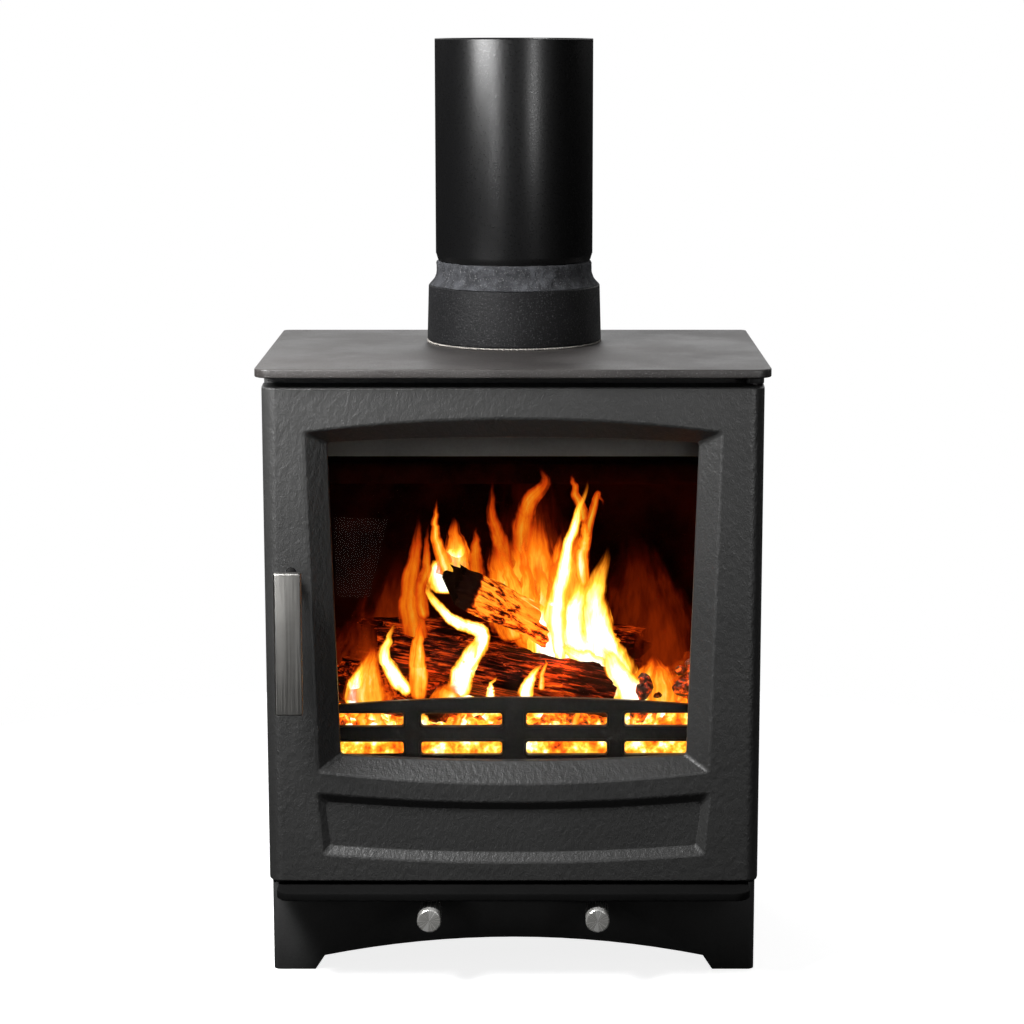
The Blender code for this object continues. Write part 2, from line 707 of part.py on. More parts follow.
def make_flue():
    centre = (0, Y_FLUE, 0)
    seal_top = Z_PLATE_TOP + GAP + SEAL_T
    seal_r = COLLAR_R_BOT + SEAL_LIP
    seal_foot = Z_PLATE_TOP + GAP
    profile = [(HOLE_R, seal_foot), (seal_r, seal_foot), (seal_r, seal_top), (HOLE_R, seal_top)]
    mesh_object("collar_seal", turned(profile, centre, 2, 64), ROPE_SEAL, smooth=30)
    foot = seal_top + GAP
    rim = foot + COLLAR_H
    ledge = foot + COLLAR_LEDGE
    bore = COLLAR_R_TOP - COLLAR_WALL
    profile = [(HOLE_R, foot), (COLLAR_R_BOT, foot), (COLLAR_R_BOT, foot + COLLAR_FOOT_H),
               (COLLAR_R_TOP, rim - COLLAR_EDGE), (COLLAR_R_TOP - COLLAR_EDGE, rim), (bore, rim),
               (bore, ledge), (HOLE_R, ledge)]
    mesh_object("flue_collar", turned(profile, centre, 2, 64), RAW_CAST, smooth=30)
    neck = rim + NECK_Z
    profile = [(SPIGOT_R - PIPE_T, ledge + GAP), (SPIGOT_R, ledge + GAP), (SPIGOT_R, neck),
               (PIPE_R, neck + NECK_TAPER), (PIPE_R, PIPE_TOP), (PIPE_R - PIPE_T, PIPE_TOP),
               (PIPE_R - PIPE_T, neck + NECK_TAPER), (SPIGOT_R - PIPE_T, neck)]
    mesh_object("flue_pipe", turned(profile, centre, 2, 64), FLUE_BLACK, smooth=30)
    inner = SPIGOT_R + GAP
    skin = inner + CEMENT_SKIN
    top = neck - GAP
    cove = CEMENT_FOOT_R - skin
    profile = [(inner, rim - CEMENT_DEEP), (bore - GAP, rim - CEMENT_DEEP), (bore - GAP, rim + GAP)]
    profile += [(skin + cove * (1 - t) ** 2, rim + GAP + CEMENT_COVE * t) for t in (0, 0.2, 0.4, 0.7, 1)]
    profile += [(skin, top - CEMENT_EDGE), (inner + CEMENT_SKIN / 3, top), (inner, top)]
    mesh_object("cement_joint", turned(profile, centre, 2, 48), FIRE_CEMENT, smooth=40)


def make_duct():
    """Channel behind the glass's head that turns warm air down over it."""
    half = X_SIDE_IN - GAP
    y0, y1, top = Y_DUCT, Y_DUCT + DUCT_D, Z_PLATE - GAP
    outline = [(y0, Z_DUCT), (y1, Z_DUCT), (y1, top), (y1 - DUCT_T, top), (y1 - DUCT_T, Z_DUCT + DUCT_T),
               (y0 + DUCT_T, Z_DUCT + DUCT_T), (y0 + DUCT_T, top), (y0, top)]
    duct = mesh_object("airwash_duct", prism(outline, 0, -half, half), STOVE_PAINT)
    for side in (-1, 1):
        cut(duct, cutter(f"duct_port_{side}", wash_port(side, Z_DUCT - PAST, Z_DUCT + PAST)))
    return duct


def make_risers():
    for name, side in (("airwash_riser_left", -1), ("airwash_riser_right", 1)):
        x0, x1, y0, y1 = riser_box(side)
        z0, z1 = Z_FLOOR_TOP + GAP, Z_DUCT - GAP
        riser = mesh_object(name, box_mesh(x0, x1, y0, y1, z0, z1), STOVE_PAINT)
        hollow = box_mesh(x0 + RISER_T, x1 - RISER_T, y0 + RISER_T, y1 - RISER_T, z0 - PAST, z1 + PAST)
        cut(riser, cutter(f"riser_hollow_{side}", hollow))


def make_bricks():
    outer = X_SIDE_IN - GAP
    y_back = Y_BACK_IN - GAP
    for name, side in (("firebrick_left", -1), ("firebrick_right", 1)):
        lo, hi = (X_BRICK_IN, outer) if side > 0 else (-outer, -X_BRICK_IN)
        mesh_object(name, box_mesh(lo, hi, Y_BRICK, y_back, Z_GRATE, Z_BRICK_TOP), FIREBRICK)
    half = X_BRICK_IN - GAP
    back = box_mesh(-half, half, y_back - BRICK_T, y_back, Z_GRATE, Z_BRICK_TOP)
    mesh_object("firebrick_back", back, FIREBRICK)
    throat = Z_BRICK_TOP + GAP
    reach = outer - THROAT_PLAY
    plate = box_mesh(-reach, reach, y_back - THROAT_D, y_back, throat, throat + THROAT_T)
    mesh_object("throat_plate", plate, FIREBRICK)


def make_grate():
    for name, side in (("grate_support_left", -1), ("grate_support_right", 1)):
        wall = side * (X_SIDE_IN - GAP)
        tip = wall - side * LEDGE_W
        top = Z_GRATE - GAP
        outline = [(wall, top), (wall, top - LEDGE_DROP), (wall - side * LEDGE_T, top - LEDGE_DROP),
                   (wall - side * LEDGE_T, top - LEDGE_T), (tip, top - LEDGE_T), (tip, top)]
        mesh_object(name, prism(outline, 1, Y_BRICK, Y_BACK_IN - GAP), STOVE_PAINT)
    half = X_BRICK_IN - GAP
    grate = mesh_object("grate_frame", box_mesh(-half, half, Y_GRATE, Y_GRATE_BACK, Z_GRATE, Z_GRATE_TOP),
                        RAW_CAST)
    well = riddle_well()
    cut(grate, cutter("riddle_well", box_mesh(*well, Z_GRATE_TOP - RIDDLE_T - RUN, Z_GRATE_TOP + PAST)))
    x0, x1, y0, y1 = well
    cut(grate, cutter("riddle_through", box_mesh(x0 + RIDDLE_LEDGE, x1 - RIDDLE_LEDGE, y0 + RIDDLE_LEDGE,
                                                 y1 - RIDDLE_LEDGE, Z_GRATE - PAST, Z_GRATE_TOP + PAST)))
    way = TONGUE_W / 2 + RUN
    cut(grate, cutter("tongue_way", box_mesh(-way, way, Y_GRATE - PAST, y0 + RIDDLE_LEDGE / 2,
                                             Z_GRATE_TOP - RIDDLE_T - RUN, Z_GRATE_TOP + PAST)))
    slots = bmesh.new()
    x_in, x_out = x1 + GRATE_RIM, half - GRATE_RIM
    count = int((GRATE_D - SLOT_FRONT - SLOT_REAR) / SLOT_PITCH)
    start = Y_GRATE + SLOT_FRONT
    for side in (-1, 1):
        for i in range(count):
            y = start + i * SLOT_PITCH
            add_box(slots, min(side * x_in, side * x_out), max(side * x_in, side * x_out), y, y + SLOT_W,
                    Z_GRATE - PAST, Z_GRATE_TOP + PAST)
    cut(grate, cutter("grate_slots", slots))
    return grate


def riddle_well():
    """Corners of the well that the riddling grate slides in."""
    half = RIDDLE_W / 2 + RUN
    back = Y_GRATE_BACK - RIDDLE_BACK
    return -half, half, back - RIDDLE_D - RIDDLE_TRAVEL - 2 * RUN, back


def make_riddling_grate():
    well = riddle_well()
    front = well[2] + RUN
    z0, z1 = Z_GRATE_TOP - RIDDLE_T, Z_GRATE_TOP - RUN
    slab = box_mesh(-RIDDLE_W / 2, RIDDLE_W / 2, front, front + RIDDLE_D, z0, z1)
    riddle = mesh_object("riddling_grate", slab, RAW_CAST, pivot=(0, front, z0))
    tongue = box_mesh(-TONGUE_W / 2, TONGUE_W / 2, Y_GRATE - TONGUE_OUT, front + PAST_NEAR, z0, z1)
    join(riddle, cutter("riddle_tongue", tongue))
    slots = bmesh.new()
    count = int((RIDDLE_D - 2 * RIDDLE_RIM) / SLOT_PITCH)
    start = front + (RIDDLE_D - (count - 1) * SLOT_PITCH - SLOT_W) / 2
    for i in range(count):
        for side in (-1, 1):
            x0, x1 = side * RIDDLE_RIB / 2, side * (RIDDLE_W / 2 - RIDDLE_SIDE)
            y = start + i * SLOT_PITCH
            add_box(slots, min(x0, x1), max(x0, x1), y, y + SLOT_W, z0 - PAST, z1 + PAST)
    cut(riddle, cutter("riddle_slots", slots))
    return riddle


def make_ash_pan():
    y0 = Y_FRAME_BACK + PAN_SETBACK
    z0 = Z_FLOOR_TOP + GAP
    half = PAN_W / 2
    pan = mesh_object("ash_pan", box_mesh(-half, half, y0, y0 + PAN_D, z0, z0 + PAN_H), DARK_STEEL)
    cut(pan, cutter("pan_hollow", box_mesh(-half + PAN_T, half - PAN_T, y0 + PAN_T, y0 + PAN_D - PAN_T,
                                           z0 + PAN_T, z0 + PAN_H + PAST)))
    z_tab = z0 + PAN_H - PAN_TAB_DROP
    tab = box_mesh(-PAN_TAB_W / 2, PAN_TAB_W / 2, y0 - PAN_TAB_D, y0 + PAN_T / 2, z_tab - PAN_TAB_T, z_tab)
    join(pan, cutter("pan_tab", tab))
    return pan


def make_log_retainer():
    """Cast fret with two rows of slots that keeps the fuel off the glass."""
    foot = Z_GRATE_TOP + GAP
    half = FRET_W / 2
    steps = 16
    top = foot + FRET_H
    outline = [(-half, foot), (half, foot), (half, top)]
    for i in range(1, steps):
        t = 1 - 2 * i / steps
        outline.append((half * t, top + FRET_ARCH * (1 - t * t)))
    outline.append((-half, top))
    y0 = Y_FRAME_BACK + FRET_SETBACK
    fret = mesh_object("log_retainer", prism(outline, 1, y0, y0 + FRET_T), RAW_CAST, smooth=20)
    slots = bmesh.new()
    inner = FRET_MID_POST / 2
    outer = inner + FRET_SLOT_W + FRET_POST
    for side in (-1, 1):
        for x, width in ((inner, FRET_SLOT_W), (outer, half - FRET_SIDE - outer)):
            for low in (FRET_ROW_LOW, FRET_ROW_HIGH):
                x0, x1 = side * x, side * (x + width)
                shape = rounded_rect(min(x0, x1), max(x0, x1), foot + low, foot + low + FRET_SLOT_H,
                                     FRET_SLOT_R, 3)
                loft(slots, [[place(p, 1, y0 - PAST) for p in shape],
                             [place(p, 1, y0 + FRET_T + PAST) for p in shape]])
    cut(fret, cutter("fret_slots", slots))
    return fret


def window_outline(inner):
    """Outer or inner edge of the window's bevel, as points in x and z."""
    z_top, z_bot = Z_DOOR + WIN_TOP, Z_DOOR + WIN_BOT
    if not inner:
        return bowed_quad(WIN_HALF_TOP, WIN_HALF_BOT, z_top, z_bot, WIN_RISE, WIN_BELLY, WIN_R)
    return bowed_quad(WIN_HALF_TOP - BEVEL_SIDE, WIN_HALF_BOT - BEVEL_SIDE, z_top - BEVEL_TOP,
                      z_bot + BEVEL_BOT, WIN_RISE_IN, WIN_BELLY_IN, WIN_R)


def stretched(near, far, depth, before):
    """The near outline carried on forwards along the slope from far to near."""
    k = before / depth
    return [(a + (a - c) * k, b + (b - d) * k) for (a, b), (c, d) in zip(near, far)]


def window_cutter():
    near, far = window_outline(False), window_outline(True)
    proud = stretched(near, far, BEVEL_D, PAST_NEAR)
    bm = bmesh.new()
    levels = ((proud, Y_DOOR - PAST_NEAR), (far, Y_DOOR + BEVEL_D), (far, Y_DOOR_BACK + PAST))
    loft(bm, [[place(p, 1, y) for p in edge] for edge, y in levels])
    return cutter("window_cut", bm)


def low_panel_cutter():
    """Recess of the panel below the window."""
    z_top, z_bot = Z_DOOR + LOW_TOP, Z_DOOR + LOW_BOT
    near = bowed_quad(LOW_HALF_TOP, LOW_HALF_BOT, z_top, z_bot, -LOW_SAG, LOW_BELLY, LOW_R)
    far = bowed_quad(LOW_HALF_TOP - LOW_BEVEL, LOW_HALF_BOT - LOW_BEVEL, z_top - LOW_BEVEL_TOP,
                     z_bot + LOW_BEVEL, -LOW_SAG_IN, LOW_BELLY_IN, LOW_R)
    proud = stretched(near, far, LOW_DEPTH, PAST_NEAR)
    bm = bmesh.new()
    levels = ((proud, Y_DOOR - PAST_NEAR), (far, Y_DOOR + LOW_DEPTH))
    loft(bm, [[place(p, 1, y) for p in edge] for edge, y in levels])
    return cutter("low_panel_cut", bm)


def rope_ring(inner, outer, y0, y1):
    """Rectangular ring with round corners, as a closed solid."""
    def path(half, z0, z1, radius):
        return rounded_rect(-half, half, z0, z1, radius, 5)
    small = path(inner[0], inner[1], inner[2], ROPE_R - (outer[0] - inner[0]) / 2)
    large = path(outer[0], outer[1], outer[2], ROPE_R + (outer[0] - inner[0]) / 2)
    bm = bmesh.new()
    rings = [[bm.verts.new(place(p, 1, y)) for p in edge]
             for edge, y in ((small, y0), (large, y0), (large, y1), (small, y1))]
    count = len(small)
    for a, b in zip(rings, rings[1:] + rings[:1]):
        for i in range(count):
            j = (i + 1) % count
            bm.faces.new((a[i], a[j], b[j], b[i]))
    return bm


def make_door_frame(hub):
    half = DOOR_W / 2
    outline = [(-half, Y_DOOR_BACK), (-half, Y_DOOR), (half, Y_DOOR), (half, Y_DOOR_BACK - DOOR_HEEL),
               (half - DOOR_HEEL, Y_DOOR_BACK)]
    plan = rounded(outline, {1: DOOR_R, 2: DOOR_R}, 6)
    bm = prism(plan, 2, Z_DOOR, Z_DOOR_TOP)
    ends = (Z_DOOR, Z_DOOR_TOP)

    def front_edge(edge):
        a, b = edge.verts[0].co, edge.verts[1].co
        level = any(abs(a.z - z) < 1e-6 and abs(b.z - z) < 1e-6 for z in ends)
        front = Y_DOOR + DOOR_R + GAP
        return level and a.y < front and b.y < front

    bevel_edges(bm, front_edge, DOOR_SOFTEN, 2)
    door = mesh_object("door_frame", bm, CAST_PAINT, smooth=25, pivot=hub.location, parent=hub)
    cut(door, window_cutter())
    cut(door, low_panel_cutter())
    seat = Y_DOOR + GLASS_SEAT_D
    rim = POCKET_RIM
    z_low, z_high = Z_ROPE_LOW + ROPE_CH + rim, Z_ROPE_HIGH - ROPE_CH - rim
    ledge = Z_DOOR + LOW_TOP + POCKET_RIM
    behind = Y_DOOR_BACK + PAST
    cut(door, cutter("glass_pocket", box_mesh(-POCKET_HALF, POCKET_HALF, seat, behind, ledge, z_high)))
    cut(door, cutter("low_hollow", box_mesh(-POCKET_HALF, POCKET_HALF, Y_DOOR + LOW_DEPTH + SKIN, behind,
                                            z_low, ledge - rim)))
    channel = rope_ring((ROPE_IN, Z_ROPE_LOW + ROPE_CH, Z_ROPE_HIGH - ROPE_CH),
                        (ROPE_OUT, Z_ROPE_LOW, Z_ROPE_HIGH), Y_DOOR_BACK - ROPE_CH_D, behind)
    cut(door, cutter("rope_channel", channel))
    hollow_y = Y_DOOR + SIDE_SKIN
    z0, z1 = Z_DOOR + SIDE_HOLLOW_END, Z_DOOR_TOP - SIDE_HOLLOW_END
    hollow = box_mesh(SIDE_HOLLOW_IN, SIDE_HOLLOW_OUT, hollow_y, behind, z0, z1)
    cut(door, cutter("hinge_side_hollow", hollow))
    latch_in = -(ROPE_OUT + LATCH_WALL)
    reach = latch_in - LATCH_HOLLOW_W
    latch_z = (Z_SPINDLE - LATCH_HOLLOW_H / 2, Z_SPINDLE + LATCH_HOLLOW_H / 2)
    hollow = box_mesh(reach, latch_in, Y_DOOR_BACK - LATCH_HOLLOW_D, behind, *latch_z)
    cut(door, cutter("latch_hollow", hollow))
    for name, lo, hi in (("low", z0, latch_z[0] - HOLLOW_RIB), ("high", latch_z[1] + HOLLOW_RIB, z1)):
        hollow = box_mesh(-SIDE_HOLLOW_OUT, -SIDE_HOLLOW_IN, hollow_y, behind, lo, hi)
        cut(door, cutter(f"latch_side_hollow_{name}", hollow))
    holes = bmesh.new()
    for lo, hi in ((Z_DOOR_TOP - PIN_IN_DOOR - RUN, Z_DOOR_TOP + PAST),
                   (Z_DOOR - PAST, Z_DOOR + PIN_IN_DOOR + RUN)):
        add_rod(holes, PIN_R + RUN, (X_PIN, Y_PIN, 0), 2, lo, hi)
    for word, x, z in clamp_screws():
        add_rod(holes, SCREW_R + GAP, (x, 0, z), 1, seat - SCREW_BITE - GAP, seat + PAST_NEAR, 12)
    mouth, wide = SPINDLE_R + RUN, SPINDLE_R + RUN + BUSH_T + GAP
    step, end = Y_DOOR + BUSH_SKIN, Y_DOOR_BACK - LATCH_HOLLOW_D + PAST_NEAR
    start = Y_DOOR - PAST
    stepped = [(0.0, start), (mouth, start), (mouth, step), (wide, step), (wide, end), (0.0, end)]
    turned(stepped, (SPINDLE_X, 0, Z_SPINDLE), 1, 24, holes)
    cut(door, cutter("door_holes", holes))
    return door


def glass_size():
    """Half width, foot and head of the glass."""
    foot = Z_DOOR + WIN_BOT + BEVEL_BOT - WIN_BELLY_IN - GLASS_LAP
    head = Z_DOOR + WIN_TOP - BEVEL_TOP + WIN_RISE_IN + GLASS_LAP
    return GLASS_HALF, foot, head


def clamp_face():
    """Front of the leg that clamps the glass."""
    return Y_DOOR + GLASS_SEAT_D + 3 * GAP + GASKET_T + GLASS_T


def clamp_levels(word):
    """The glass's edge and the pocket's edge, where a clamp bar lies."""
    foot, head = glass_size()[1:]
    if word == "top":
        return head, Z_ROPE_HIGH - ROPE_CH - POCKET_RIM
    return foot, Z_DOOR + LOW_TOP + POCKET_RIM


def clamp_screws():
    """Name and centre of each screw through the clamp bars."""
    places = []
    for word in ("top", "foot"):
        glass_edge, pocket_edge = clamp_levels(word)
        for hand, side in (("left", -1), ("right", 1)):
            places.append((f"{word}_{hand}", side * CLAMP_SCREW_X, (glass_edge + pocket_edge) / 2))
    return places


def make_glazing(hub):
    half, foot, head = glass_size()
    seat = Y_DOOR + GLASS_SEAT_D + GAP
    outer = rounded_rect(-half, half, foot, head, GLASS_R, 3)
    inner = rounded_rect(-half + GASKET_W, half - GASKET_W, foot + GASKET_W, head - GASKET_W, GLASS_R, 3)
    bm = bmesh.new()
    rings = [[bm.verts.new(place(p, 1, y)) for p in edge] for edge, y in
             ((inner, seat), (outer, seat), (outer, seat + GASKET_T), (inner, seat + GASKET_T))]
    for a, b in zip(rings, rings[1:] + rings[:1]):
        for i in range(len(inner)):
            j = (i + 1) % len(inner)
            bm.faces.new((a[i], a[j], b[j], b[i]))
    mesh_object("glass_gasket", bm, ROPE_SEAL, parent=hub, pivot=hub.location)
    pane = seat + GASKET_T + GAP
    mesh_object("door_glass", prism(outer, 1, pane, pane + GLASS_T), STOVE_GLASS, parent=hub,
                pivot=hub.location)


def make_glass_clamps(hub):
    """Stepped bars over the head and foot of the glass, screwed to its seat."""
    face = clamp_face()
    seat = Y_DOOR + GLASS_SEAT_D + GAP
    for word, up in (("top", 1), ("foot", -1)):
        glass_edge, pocket_edge = clamp_levels(word)
        outer = pocket_edge - up * GAP
        step = glass_edge + up * GAP
        tip = glass_edge - up * CLAMP_LAP
        outline = [(face, tip), (face + CLAMP_T, tip), (face + CLAMP_T, outer), (seat, outer),
                   (seat, step), (face, step)]
        bar = mesh_object(f"glass_clamp_{word}", prism(outline, 0, -CLAMP_L / 2, CLAMP_L / 2), DARK_STEEL,
                          parent=hub, pivot=hub.location)
        for name, x, z in clamp_screws():
            if name.startswith(word):
                hole = rod_mesh(SCREW_R + GAP, (x, 0, z), 1, seat - PAST, face + PAST, 12)
                cut(bar, cutter(f"clamp_hole_{name}", hole))


def screw_profile(tip, base):
    """A pan-head screw from its tip to the face that its head lies on."""
    return [(0.0, tip), (SCREW_R, tip), (SCREW_R, base), (SCREW_HEAD_R, base),
            (SCREW_HEAD_R, base + SCREW_RIM_T), (SCREW_CROWN_R, base + SCREW_HEAD_T),
            (0.0, base + SCREW_HEAD_T)]


def make_clamp_screws(hub):
    profile = screw_profile(Y_DOOR + GLASS_SEAT_D - SCREW_BITE, clamp_face() + CLAMP_T + GAP)
    for name, x, z in clamp_screws():
        mesh_object(f"clamp_screw_{name}", turned(profile, (x, 0, z), 1, 12), DARK_STEEL,
                    smooth=30, parent=hub, pivot=hub.location)


def make_rope_seal(hub):
    s = ROPE_SLACK
    bm = rope_ring((ROPE_IN + s, Z_ROPE_LOW + ROPE_CH - s, Z_ROPE_HIGH - ROPE_CH + s),
                   (ROPE_OUT - s, Z_ROPE_LOW + s, Z_ROPE_HIGH - s),
                   Y_DOOR_BACK - ROPE_CH_D + GAP, Y_FRAME - GAP)
    mesh_object("door_rope_seal", bm, ROPE_SEAL, smooth=30, parent=hub, pivot=hub.location)


def make_hinge():
    """Two tabs on the front frame, each with a pin into the door."""
    x0, x1 = X_PIN - TAB_IN, DOOR_W / 2
    y1 = Y_FRAME - GAP
    tab_z = Z_DOOR_TOP + TAB_CLEAR
    for name, z0, z1 in (("hinge_tab_top", tab_z, tab_z + TAB_TOP_T),
                         ("hinge_tab_foot", Z_LIP_TOP + GAP, Z_LIP_TOP + GAP + TAB_BOT_T)):
        plan = rounded([(x0, Y_PIN - TAB_HALF), (x1, Y_PIN - TAB_HALF), (x1, y1), (x0, y1)],
                       {0: TAB_R, 1: TAB_R}, 4)
        tab = mesh_object(name, prism(plan, 2, z0, z1), DARK_STEEL, smooth=30)
        cut(tab, cutter(name + "_hole", rod_mesh(PIN_R + GAP, (X_PIN, Y_PIN, 0), 2, z0 - PAST, z1 + PAST)))
    centre = (X_PIN, Y_PIN, 0)
    head = tab_z + TAB_TOP_T + GAP
    tip = Z_DOOR_TOP - PIN_IN_DOOR
    mesh_object("hinge_pin_top", turned([(0.0, tip), (PIN_R, tip), (PIN_R, head), (PIN_HEAD_R, head),
                                         (PIN_HEAD_R, head + PIN_HEAD_T), (0.0, head + PIN_HEAD_T)],
                                        centre, 2, 24), BRUSHED_STEEL, smooth=30)
    mesh_object("hinge_pin_foot", rod_mesh(PIN_R, centre, 2, Z_LIP_TOP + GAP, Z_DOOR + PIN_IN_DOOR),
                BRUSHED_STEEL, smooth=30)


def make_handle(hub):
    """Flat lever on a spindle, with the cam and nut behind the door."""
    z_top = Z_SPINDLE + HANDLE_TOP
    shape = rounded_rect(SPINDLE_X - HANDLE_W / 2, SPINDLE_X + HANDLE_W / 2, z_top - HANDLE_L, z_top,
                         HANDLE_R, 3)
    e = HANDLE_EDGE
    inset = rounded_rect(SPINDLE_X - HANDLE_W / 2 + e, SPINDLE_X + HANDLE_W / 2 - e, z_top - HANDLE_L + e,
                         z_top - e, HANDLE_R - e / 2, 3)
    y0, y1 = Y_HANDLE, Y_HANDLE + HANDLE_T
    bm = bmesh.new()
    loft(bm, [[place(p, 1, y0) for p in inset], [place(p, 1, y0 + e) for p in shape],
              [place(p, 1, y1 - e / 2) for p in shape], [place(p, 1, y1) for p in inset]])
    lever = mesh_object("handle_lever", bm, BRUSHED_STEEL, parent=hub, pivot=hub.location)
    cut(lever, cutter("lever_socket", rod_mesh(SPINDLE_R + GAP, (SPINDLE_X, 0, Z_SPINDLE), 1,
                                               y1 - SOCKET_D, y1 + PAST)))
    centre = (SPINDLE_X, 0, Z_SPINDLE)
    cam_y = cam_front()
    tail = cam_y + CAM_T + GAP + NUT_T + SPINDLE_TAIL
    mesh_object("handle_spindle", rod_mesh(SPINDLE_R, centre, 1, y1 - SOCKET_D + GAP, tail), DARK_STEEL,
                smooth=30, parent=hub, pivot=hub.location)
    bore = SPINDLE_R + GAP
    hub_side = arc(SPINDLE_X, Z_SPINDLE, CAM_HUB_R, -100, 100, 10)
    tip = SPINDLE_X - CAM_REACH
    nose = [(tip, Z_SPINDLE + CAM_NOSE / 2), (tip, Z_SPINDLE - CAM_NOSE / 2)]
    cam = mesh_object("latch_cam", prism(hub_side + nose, 1, cam_y, cam_y + CAM_T), DARK_STEEL,
                      smooth=30, parent=hub, pivot=hub.location)
    cut(cam, cutter("cam_bore", rod_mesh(bore, centre, 1, cam_y - PAST, cam_y + PAST)))
    nut_y = cam_y + CAM_T + GAP
    hexagon = circle(SPINDLE_X, Z_SPINDLE, NUT_R / math.cos(math.pi / 6), 6)
    nut = mesh_object("cam_nut", prism(hexagon, 1, nut_y, nut_y + NUT_T), BRUSHED_STEEL, parent=hub,
                      pivot=hub.location)
    cut(nut, cutter("nut_bore", rod_mesh(bore, centre, 1, nut_y - PAST, nut_y + PAST)))


def cam_front():
    """Front face of the cam, in the hollow behind the door's face."""
    return Y_DOOR_BACK - LATCH_HOLLOW_D + CAM_INSET


def make_bush(hub):
    inner, outer = SPINDLE_R + RUN, SPINDLE_R + RUN + BUSH_T
    y0 = Y_DOOR + BUSH_SKIN + GAP
    y1 = cam_front() - CAM_PLAY
    mesh_object("spindle_bush", turned([(inner, y0), (outer, y0), (outer, y1), (inner, y1)],
                                       (SPINDLE_X, 0, Z_SPINDLE), 1, 24), DARK_STEEL, smooth=30,
                parent=hub, pivot=hub.location)


def make_keeper():
    """Hooked bracket on the front frame that the cam draws in behind."""
    head_in = SPINDLE_X - CAM_REACH - KEEPER_GAP
    post = head_in - KEEPER_HEAD
    y_head = cam_front() - CAM_PLAY - KEEPER_T
    y_foot = Y_FRAME - GAP
    outline = [(head_in, y_head), (head_in, y_head + KEEPER_T), (post + KEEPER_POST, y_head + KEEPER_T),
               (post + KEEPER_POST, y_foot), (post, y_foot), (post, y_head)]
    mesh_object("latch_keeper", prism(outline, 2, Z_SPINDLE - KEEPER_H / 2, Z_SPINDLE + KEEPER_H / 2),
                DARK_STEEL)


def knob_mesh(x):
    y0, y1 = Y_KNOB, Y_KNOB + KNOB_L
    c = KNOB_CHAMFER
    bore = ROD_R + GAP
    profile = [(0.0, y0 + KNOB_CONE), (KNOB_R - c, y0), (KNOB_R, y0 + c), (KNOB_R, y1 - c),
               (KNOB_R - c, y1), (bore, y1), (bore, y1 - KNOB_BORE_L), (0.0, y1 - KNOB_BORE_L)]
    return turned(profile, (x, 0, ROD_Z), 1, 32)


def make_control(word, x, hub, tab_y, plate, holes):
    """Knob, rod and shutter that slide as one."""
    mesh_object(f"{word}_knob", knob_mesh(x), BRUSHED_STEEL, smooth=35, parent=hub, pivot=hub.location)
    start = Y_KNOB + KNOB_L - KNOB_BORE_L + GAP
    mesh_object(f"{word}_rod", rod_mesh(ROD_R, (x, 0, ROD_Z), 1, start, tab_y - GAP), DARK_STEEL,
                smooth=30, parent=hub, pivot=hub.location)
    shutter = mesh_object(f"{word}_shutter", box_mesh(*plate, Z_SHUTTER, Z_SHUTTER_TOP), DARK_STEEL,
                          parent=hub, pivot=hub.location)
    tab = box_mesh(x - TAB_HALF_W, x + TAB_HALF_W, tab_y, tab_y + TAB_T, ROD_Z - TAB_BELOW,
                   Z_SHUTTER + SHUTTER_T / 2)
    join(shutter, cutter(f"{word}_tab", tab))
    for i, hole in enumerate(holes):
        cut(shutter, cutter(f"{word}_port_{i}", hole))


def make_primary_air(hub):
    y_slot = primary_slot()
    y1 = y_slot[1] + PORT_MARGIN
    y0 = y1 - PRIMARY_D
    plate = (-ROD_X - PRIMARY_W / 2, -ROD_X + PRIMARY_W / 2, y0, y1)
    hole = box_mesh(-ROD_X - PRIMARY_SLOT_W / 2, -ROD_X + PRIMARY_SLOT_W / 2, y_slot[0], y_slot[1],
                    Z_SHUTTER - PAST, Z_SHUTTER_TOP + PAST)
    make_control("primary", -ROD_X, hub, y0, plate, [hole])


def make_primary_guide():
    y1 = primary_slot()[1] + PORT_MARGIN
    y0 = y1 - PRIMARY_D
    half = PRIMARY_W / 2 + RUN
    z_shelf = Z_SHUTTER - RUN
    top = Z_FLOOR - GAP
    end = y1 + CONTROL_TRAVEL + RUN
    outline = [(-ROD_X - half - GUIDE_T, z_shelf - GUIDE_T), (-ROD_X + half + GUIDE_T, z_shelf - GUIDE_T),
               (-ROD_X + half + GUIDE_T, top), (-ROD_X + half, top), (-ROD_X + half, z_shelf),
               (-ROD_X - half, z_shelf), (-ROD_X - half, top), (-ROD_X - half - GUIDE_T, top)]
    guide = mesh_object("primary_guide", prism(outline, 1, y0, end), STOVE_PAINT)
    way = PRIMARY_SLOT_W / 2
    cut(guide, cutter("guide_way", box_mesh(-ROD_X - way, -ROD_X + way, y0 - PAST, end - GUIDE_END,
                                            z_shelf - PAST, z_shelf + PAST_NEAR)))
    return guide


def make_airwash(hub):
    half = riser_box(1)[1] - RUN - GUIDE_T
    y0 = Y_FRAME_BACK + WASH_FRONT
    plate = (-half, half, y0, y0 + WASH_D)
    holes = [wash_port(side, Z_SHUTTER - PAST, Z_SHUTTER_TOP + PAST) for side in (-1, 1)]
    make_control("airwash", ROD_X, hub, y0, plate, holes)


